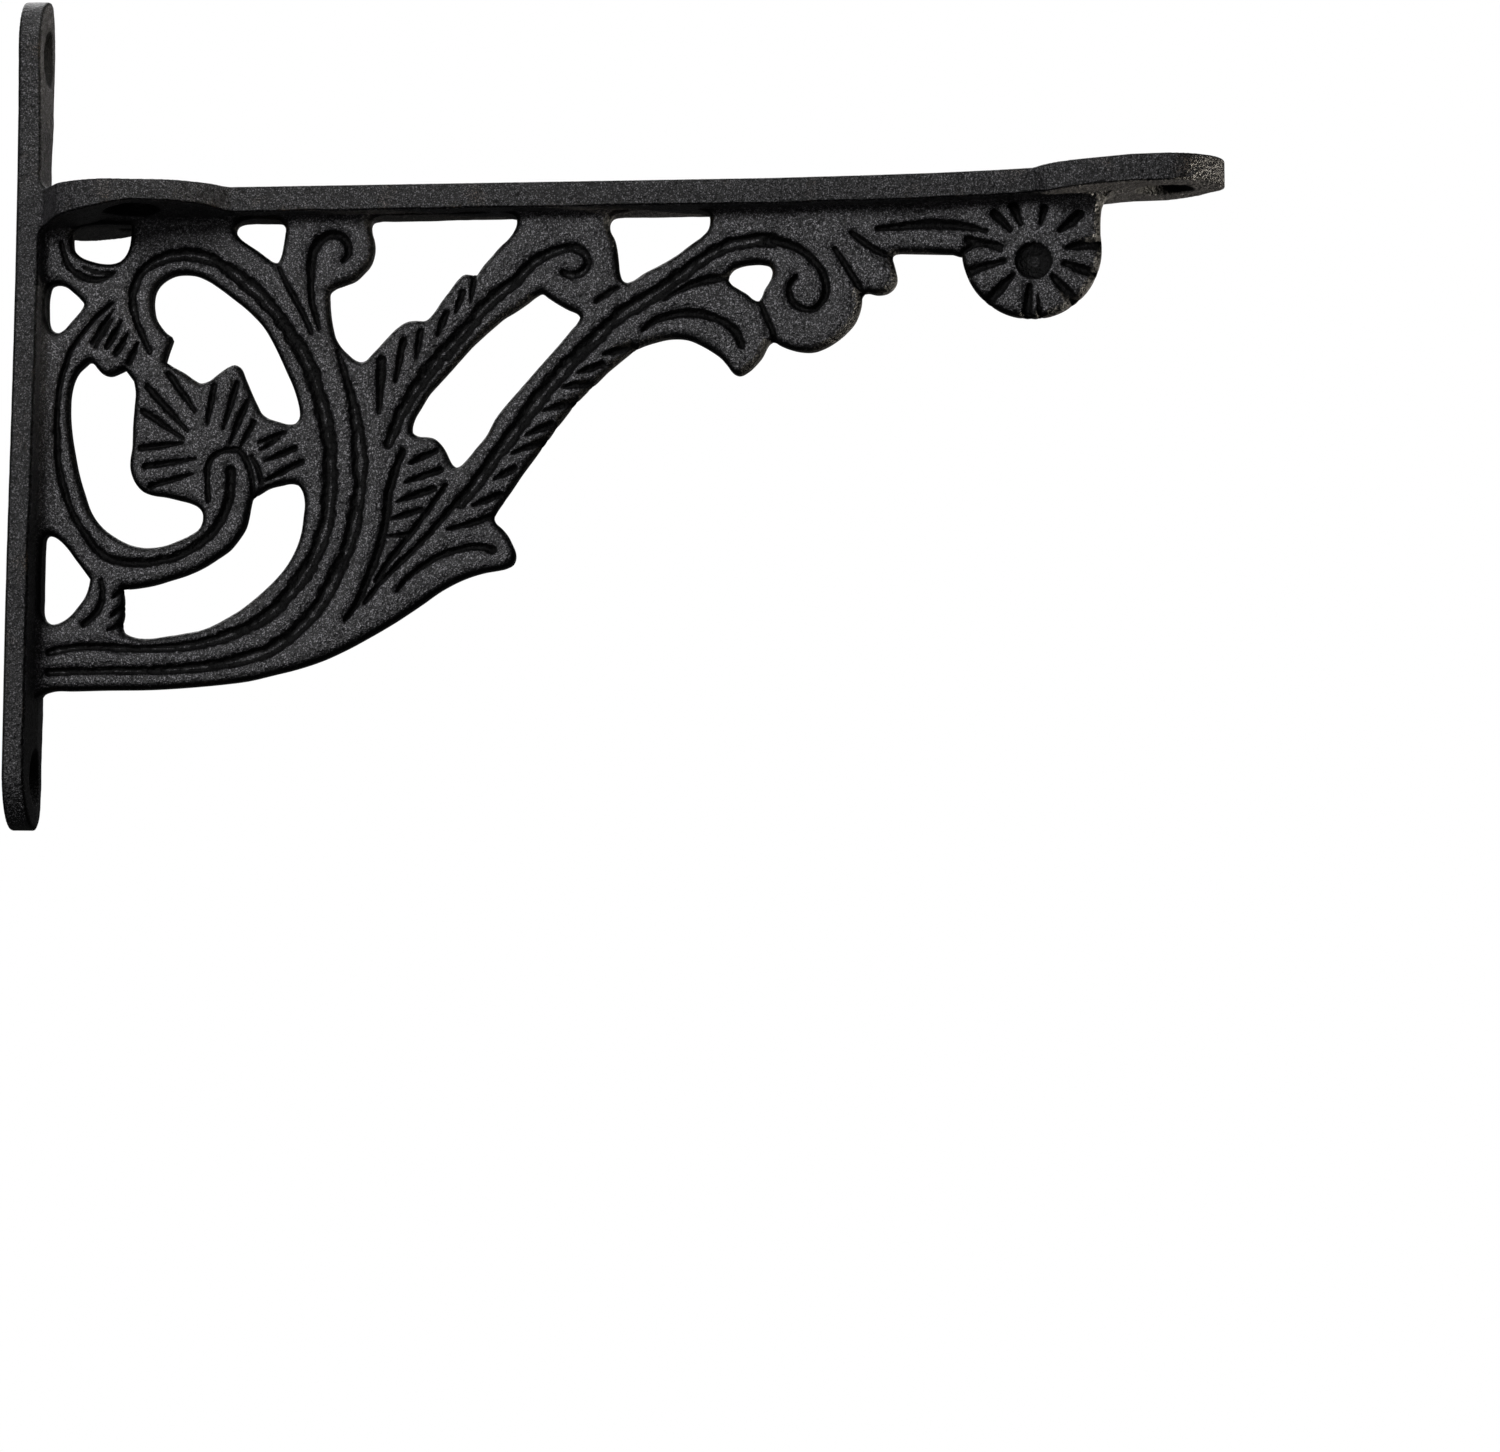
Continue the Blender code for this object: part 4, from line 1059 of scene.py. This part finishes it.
@dataclass(frozen=True)
class ScrewHole:
    """A countersunk hole at a place in its plate's plane.

    The cone's edge is eased over a width on both sides of the mouth, which takes a little off its
    depth.
    """

    u: float
    v: float
    radius: float = 3.1
    mouth: float = 6.1
    ease: float = 0.6
    eased_off: float = 0.15

    def away(self, u: Array, v: Array) -> Array:
        """Distance from its axis."""
        return np.hypot(u - self.u, v - self.v)

    def sink(self, u: Array, v: Array) -> Array:
        """Depth of the countersink, a right-angled cone eased at its mouth.

        Args:
            u: first coordinates of the places wanted.
            v: their second coordinates.

        Returns:
            The depth at each place, 0 well outside of the mouth.
        """
        gap = self.mouth - self.away(u, v)
        share = np.clip(gap + self.ease, 0, None) / (2 * self.ease)
        lip = (self.ease - self.eased_off) * share**2
        return np.where(gap > self.ease, gap - self.eased_off, lip)


@dataclass(frozen=True)
class Plate:
    """What the two plates share: thickness, draft, cast lumps, screw holes and rounded edges."""

    middle: float
    low: tuple
    high: tuple
    lumps: tuple
    holes: tuple
    draft: float = 0.0735
    edge_round: float = 0.8
    hole_round: float = 0.12
    hole_reach: float = 1.5
    step: float = 0.45

    def outline(self) -> Array:
        """The plate's outline, which each plate draws for itself."""
        raise NotImplementedError

    def skin(self, grid: Grid, thickness: Array) -> Skin:
        """Meshes the plate with its lumps and its screw holes, from its flat back at height 0.

        Args:
            grid: the grid of the whole plate.
            thickness: how thick the plate is at each point.

        Returns:
            The surface, with the height as its third coordinate.
        """
        u, v = grid.both()
        edge = grid.signed([self.outline()])
        sinks = np.zeros(grid.shape)
        rounding = np.full(grid.shape, self.edge_round)
        for hole in self.holes:
            away = hole.away(u, v)
            edge = np.minimum(edge, away - hole.radius)
            sinks = np.maximum(sinks, hole.sink(u, v))
            rounding = np.where(away < hole.radius + self.hole_reach, self.hole_round, rounding)
        top = thickness + uneven(grid.shape, self.lumps) - sinks
        # the countersinks get painted shade, full from 1 mm deep
        return Slab(grid, edge, top, np.clip(sinks, 0, 1), np.zeros(grid.shape), rounding).skin()


@dataclass(frozen=True)
class WallPlate(Plate):
    """The upright strip against the wall, with a fillet above and below the arm's root."""

    middle: float = 5.5
    low: tuple = (-14.0, -134.5)
    high: tuple = (14.0, 43.0)
    lumps: tuple = ((0.05, 7, 3), (0.02, 1.8, 4))
    holes: tuple = (ScrewHole(0.0, 28.8), ScrewHole(0.0, -121.3))
    top: float = 40.9
    top_ear: float = 9.9
    shoulder: float = 10
    bottom: float = -132.4
    bottom_ear: float = 12.2
    side: Points = ((-9.2, 24.0), (-8.5, 16.0), (-8.3, 10.0), (-8.3, -24.0), (-9.2, -42.0),
                    (-10.6, -62.0), (-11.7, -80.0), (-12.1, -100.0))
    side_step: float = 0.6
    arm_top: float = 0.1
    arm_under: float = -7.0
    fillet: float = 3.0

    def outline(self) -> Array:
        """Both round ears joined by the waisted sides."""
        top = arc((0, self.top - self.top_ear), self.top_ear, -self.shoulder, 180 + self.shoulder)
        bottom = arc((0, self.bottom + self.bottom_ear), self.bottom_ear, 180, 360)
        left = smooth(((*top[-1], 1), *self.side, (*bottom[0], 1)), self.side_step, closed=False)
        left = left[1:-1]
        return np.concatenate([top, left, bottom, left[::-1] * (-1, 1)])

    def build(self, material: bpy.types.Material) -> bpy.types.Object:
        """Makes the plate: u is Y, v is Z and height is X.

        Args:
            material: its finish.

        Returns:
            The new object.
        """
        grid = Grid.over(self.low, self.high, self.step)
        u, v = grid.both()
        beyond = np.maximum(v - self.arm_top, self.arm_under - v)
        skin = self.skin(grid, self.middle - self.draft * np.abs(u) + flare(beyond, self.fillet))
        return skin.make("wall_plate", skin.points[:, [2, 0, 1]], material)


@dataclass(frozen=True)
class ShelfPlate(Plate):
    """The arm under the shelf, with its lug at the wall and its round ear at the tip.

    The lug is a wedge whose thickness grows from a station towards the wall, and the pad under the
    tip has its thickness at a few stations.
    """

    middle: float = 5.9
    low: tuple = (-1.0, -24.0)
    high: tuple = (252.0, 24.0)
    lumps: tuple = ((0.05, 7, 5), (0.02, 1.8, 6))
    holes: tuple = (ScrewHole(24.5, -11.2), ScrewHole(24.5, 11.2), ScrewHole(237.5, 0.0))
    edge_round: float = 0.5
    tip_x: float = 236.4
    tip_ear: float = 13.4
    lug: Points = (
        (0.6, 7.6, 1), (5.4, 8.5), (7.2, 12.0), (9.6, 16.9, 1), (10.9, 18.2), (12.9, 19.6),
        (15.0, 20.7), (18.0, 21.6), (21.0, 21.8), (25.0, 20.9), (30.0, 20.0), (35.0, 18.4),
        (38.0, 16.1), (40.0, 14.5), (42.0, 12.2), (43.4, 9.8), (44.7, 8.3, 1),
    )
    ear: Points = (
        (210.0, 8.3, 1), (211.3, 9.7), (213.2, 11.5), (216.0, 12.8), (221.0, 13.3), (229.0, 13.4),
        (236.4, 13.4, 1),
    )
    outline_step: float = 0.5
    wedge_end: float = 28.0
    wedge_at: tuple = (27.0, 4.15)
    wedge_slope: float = 0.165
    wedge_most: float = 8.6
    pad: tuple = ((207.0, 4.0), (213.0, 5.7), (238.0, 5.7), (252.0, 5.1))

    def outline(self) -> Array:
        """One side from the wall to the tip, then the other back."""
        near = np.concatenate([
            smooth(self.lug, self.outline_step, closed=False),
            smooth(self.ear, self.outline_step, closed=False)[:-1],
            arc((self.tip_x, 0), self.tip_ear, 90, 0)])
        return np.concatenate([near, near[-2::-1] * (1, -1)])

    def build(self, material: bpy.types.Material) -> bpy.types.Object:
        """Makes the plate lying flat, u along X and v along Y, then raises it by its slope.

        Args:
            material: its finish.

        Returns:
            The new object.
        """
        grid = Grid.over(self.low, self.high, self.step)
        u, v = grid.both()
        station, thick = self.wedge_at
        wedge = np.clip(thick + (station - u) * self.wedge_slope, 0, self.wedge_most)
        wedge = np.where(u < self.wedge_end, wedge, 0)
        pad = np.interp(u, *zip(*self.pad))
        strip = self.middle - self.draft * np.abs(v)
        skin = self.skin(grid, np.maximum(strip, np.maximum(wedge, pad)))
        u, v, drop = skin.points.T
        x = u * np.cos(RISE) + drop * np.sin(RISE)
        z = u * np.sin(RISE) - drop * np.cos(RISE) + lift(x)
        return skin.turned_over().make("shelf_plate", np.stack([x, v, z], 1), material)


class Beam(Enum):
    """The kinds of light."""

    AREA = "AREA"
    SPOT = "SPOT"


@dataclass(frozen=True)
class Lamp:
    """One light: width is the side of an area light in metres, or the cone of a spot in degrees."""

    name: str
    beam: Beam
    place: tuple
    width: float
    watts: float
    aim: tuple = (0.11, 0.0, -0.05)
    colour: tuple = (1.0, 1.0, 1.0)
    spot_blend: float = 0.7
    spot_radius: float = 0.05

    def hang(self) -> None:
        """Adds the light to the scene, turned towards its aim."""
        data = bpy.data.lights.new(self.name, self.beam.value)
        data.energy, data.color = self.watts, self.colour
        if self.beam is Beam.AREA:
            data.size = self.width
        else:
            data.spot_size, data.spot_blend = np.radians(self.width), self.spot_blend
            data.shadow_soft_size = self.spot_radius
        made = bpy.data.objects.new(self.name, data)
        made.location = self.place
        ahead = Vector(self.aim) - Vector(self.place)
        made.rotation_euler = ahead.to_track_quat("-Z", "Y").to_euler()
        bpy.context.scene.collection.objects.link(made)


@dataclass(frozen=True)
class Studio:
    """Camera, lights, backdrop light and floor."""

    eye: tuple = (0.2636, -1.6, -0.26519)
    yaw: float = -3.95
    pitch: float = 5.53
    roll: float = 0.68
    focal_px: float = 7840.0
    width_px: float = 1500.0
    sensor_mm: float = 36.0
    backdrop: float = 1.0
    sky: float = 0.03
    white: tuple = (1.0, 1.0, 1.0, 1.0)
    floor_z: float = -0.32
    floor_half: float = 4.0
    floor_colour: tuple = (0.82, 0.82, 0.81, 1.0)
    floor_roughness: float = 0.8
    lamps: tuple = (
        Lamp("key", Beam.AREA, (-0.55, -1.45, 0.58), 0.55, 24.0),
        Lamp("front", Beam.AREA, (0.0, -1.7, -0.25), 0.9, 2.6),
        Lamp("low", Beam.SPOT, (0.88, 0.32, -0.30), 14.0, 56.0, (0.235, 0.0, 0.0),
             (1.0, 0.92, 0.79)),
        Lamp("side", Beam.SPOT, (1.0, -0.15, 0.40), 7.0, 40.0, (0.005, 0.0, 0.03),
             (1.0, 0.96, 0.88)),
        Lamp("back", Beam.AREA, (-0.4, 1.3, 0.9), 1.0, 14.0),
        Lamp("above", Beam.AREA, (0.3, 0.2, 1.6), 1.0, 14.0),
    )

    def camera(self) -> None:
        """Places a long lens that looks slightly up and to the left."""
        yaw, pitch, roll = np.radians([self.yaw, self.pitch, self.roll])
        ahead = Vector((np.sin(yaw) * np.cos(pitch), np.cos(yaw) * np.cos(pitch), np.sin(pitch)))
        right = ahead.cross(Vector((0, 0, 1))).normalized()
        up = right.cross(ahead)
        side = right * np.cos(roll) + up * np.sin(roll)
        top = up * np.cos(roll) - right * np.sin(roll)
        turn = Matrix((side, top, -ahead)).transposed().to_4x4()
        data = bpy.data.cameras.new("camera")
        data.sensor_width = self.sensor_mm
        data.lens = self.focal_px * self.sensor_mm / self.width_px
        made = bpy.data.objects.new("camera", data)
        made.matrix_world = Matrix.Translation(self.eye) @ turn
        bpy.context.scene.collection.objects.link(made)
        bpy.context.scene.camera = made

    def room(self) -> None:
        """A dim room whose walls look white, as behind a product on a light table."""
        world = bpy.data.worlds.new("studio")
        world.use_nodes = True
        nodes, links = world.node_tree.nodes, world.node_tree.links
        dim, white = nodes["Background"], nodes.new("ShaderNodeBackground")
        for background, strength in ((dim, self.sky), (white, self.backdrop)):
            background.inputs["Color"].default_value = self.white
            background.inputs["Strength"].default_value = strength
        seen, both = nodes.new("ShaderNodeLightPath"), nodes.new("ShaderNodeMixShader")
        links.new(seen.outputs["Is Camera Ray"], both.inputs[0])
        links.new(dim.outputs[0], both.inputs[1])
        links.new(white.outputs[0], both.inputs[2])
        links.new(both.outputs[0], nodes["World Output"].inputs["Surface"])
        bpy.context.scene.world = world
        bpy.context.scene.view_settings.view_transform = "Standard"

    def floor(self) -> None:
        """A pale floor well below the bracket, kept out of its reflections and its undersides."""
        mesh = bpy.data.meshes.new("floor")
        r, z = self.floor_half, self.floor_z
        mesh.from_pydata([(-r, -r, z), (r, -r, z), (r, r, z), (-r, r, z)], [], [(0, 1, 2, 3)])
        material = bpy.data.materials.new("pale_floor")
        material.use_nodes = True
        shader = material.node_tree.nodes["Principled BSDF"]
        shader.inputs["Base Color"].default_value = self.floor_colour
        shader.inputs["Roughness"].default_value = self.floor_roughness
        mesh.materials.append(material)
        made = bpy.data.objects.new("floor", mesh)
        made.visible_diffuse = made.visible_glossy = False
        bpy.context.scene.collection.objects.link(made)

    def build(self) -> None:
        """Sets up everything around the bracket."""
        self.room()
        self.camera()
        self.floor()
        for lamp in self.lamps:
            lamp.hang()


def main() -> None:
    """Builds the casting in four meshes that stand for the one CAD node, then the studio."""
    logging.basicConfig(level=logging.INFO)
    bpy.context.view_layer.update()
    material = CastPaint().material()
    pieces = Web().build(material) + [WallPlate().build(material), ShelfPlate().build(material)]
    for piece in pieces:
        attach(piece, "root")
        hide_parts("bracket_casting")
    Studio().build()


if __name__ == "__main__":
    main()
